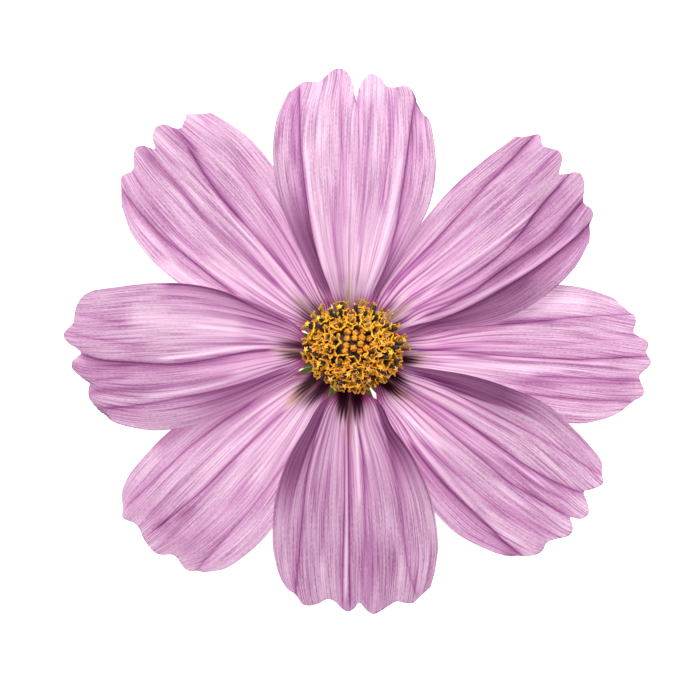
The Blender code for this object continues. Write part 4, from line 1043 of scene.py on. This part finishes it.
STYLE_PLACES = ((125, 5.8), (110, 5.6), (102, 5.4), (84, 5.7), (78, 5.5), (68, 5.6), (60, 5.7), (51, 5.7),
                (42, 5.7), (31, 5.4), (17, 5.6), (5, 5.6), (11, 5.3), (-26, 5.3), (-52, 5.2), (-114, 5.1),
                (-145, 5.3), (154, 5.5), (173, 5.4), (-171, 5.4), (95, 5.4), (24, 5.5), (137, 5.5))
STYLE_LONG, STYLE_R = 1.75, 0.11
ARM_SWELL = 1.3
ARM = ((0.0, 0.0), (0.12, 0.10), (0.27, 0.15), (0.38, 0.10), (0.44, -0.02))    # (sideways, up) of one arm

path = bpy.data.curves.new("style", "CURVE")
path.dimensions = "3D"
path.bevel_depth = STYLE_R * MM
path.bevel_resolution = 2
path.resolution_u = 4
path.use_fill_caps = True
for side in (-1, 1):
    line_points = [(0.03 * side, 0.0, -0.3), (0.04 * side, 0.0, STYLE_LONG * 0.6)]
    line_points += [(side * (0.05 + x), 0.0, STYLE_LONG + y) for x, y in ARM]
    spline = path.splines.new("NURBS")
    spline.points.add(len(line_points) - 1)
    for point, at in zip(spline.points, line_points):
        point.co = (*[c * MM for c in at], 1.0)
        point.radius = 1.0 if at[2] < STYLE_LONG else ARM_SWELL
    spline.use_endpoint_u = True
style = bpy.data.objects.new("style", path)
bpy.context.scene.collection.objects.link(style)
pick(style)
bpy.ops.object.convert(target="MESH")
style = bpy.context.active_object
styles = stand_copies("forked_styles", style, STYLE_PLACES, scale=(0.85, 1.1), sink=0.2, tilt=0.3)

# Style tissue: olive gold and furry, its pollen grains lighter than the hollows between them.
olive, tree = new_material("furry_olive_style")
fur, gold = speckled(tree, 7000.0, 3.0, ((0.35, "#8E6E10"), (0.65, "#D2A31E")))
tissue_surface(tree, gold, roughness=0.8, bumps=(0.6, 0.04, fur))
finish(styles, olive, "floret", "disc_florets")

# Table, light and camera: a plain white glowing table under the flower, a wide soft light
# above, and a long lens that looks down with a slight lean towards the near side.

WHITE = (1.0, 1.0, 1.0, 1.0)
TABLE_SIZE = 3.0
LEAN = Vector((-0.07, -0.21, 0.975)).normalized()   # from the flower towards the camera
DISTANCE = 0.45
LENS = 178.0

deselect()
bpy.ops.mesh.primitive_plane_add(size=TABLE_SIZE, location=(0.0, 0.0, -0.2 * MM))
table = bpy.context.active_object
table.name = "table"
white, tree = new_material("white_light_table")
shader = add_node(tree, "BsdfPrincipled",
                  sockets={"Base Color": linear("#F6F6F6"), "Roughness": 0.9,
                           "Emission Color": WHITE, "Emission Strength": 1.02})
add_node(tree, "OutputMaterial", links={"Surface": shader.outputs["BSDF"]})
table.data.materials.append(white)

world = bpy.data.worlds.new("studio")
world.use_nodes = True
world.node_tree.nodes["Background"].inputs["Color"].default_value = WHITE
world.node_tree.nodes["Background"].inputs["Strength"].default_value = 0.7
bpy.context.scene.world = world

deselect()
bpy.ops.object.light_add(type="AREA", location=(-0.12, 0.25, 0.55))
key = bpy.context.active_object
key.name = "soft_light"
key.data.shape = "DISK"
key.data.size = 0.3
key.data.energy = 3.4
key.rotation_euler = (-key.location).to_track_quat("-Z", "Y").to_euler()

up = (Vector((0, 1, 0)) - LEAN * LEAN.y).normalized()
right = up.cross(LEAN)
aim = AXIS + Vector((0.13 * MM, 0.13 * MM, 6.0 * MM))
camera = bpy.data.objects.new("camera", bpy.data.cameras.new("camera"))
bpy.context.scene.collection.objects.link(camera)
camera.data.lens = LENS
camera.data.clip_start = 0.01
camera.matrix_world = Matrix.Translation(aim + LEAN * DISTANCE) @ Matrix(
    (right, up, LEAN)).transposed().to_4x4()
bpy.context.scene.camera = camera
bpy.context.scene.view_settings.view_transform = "Standard"
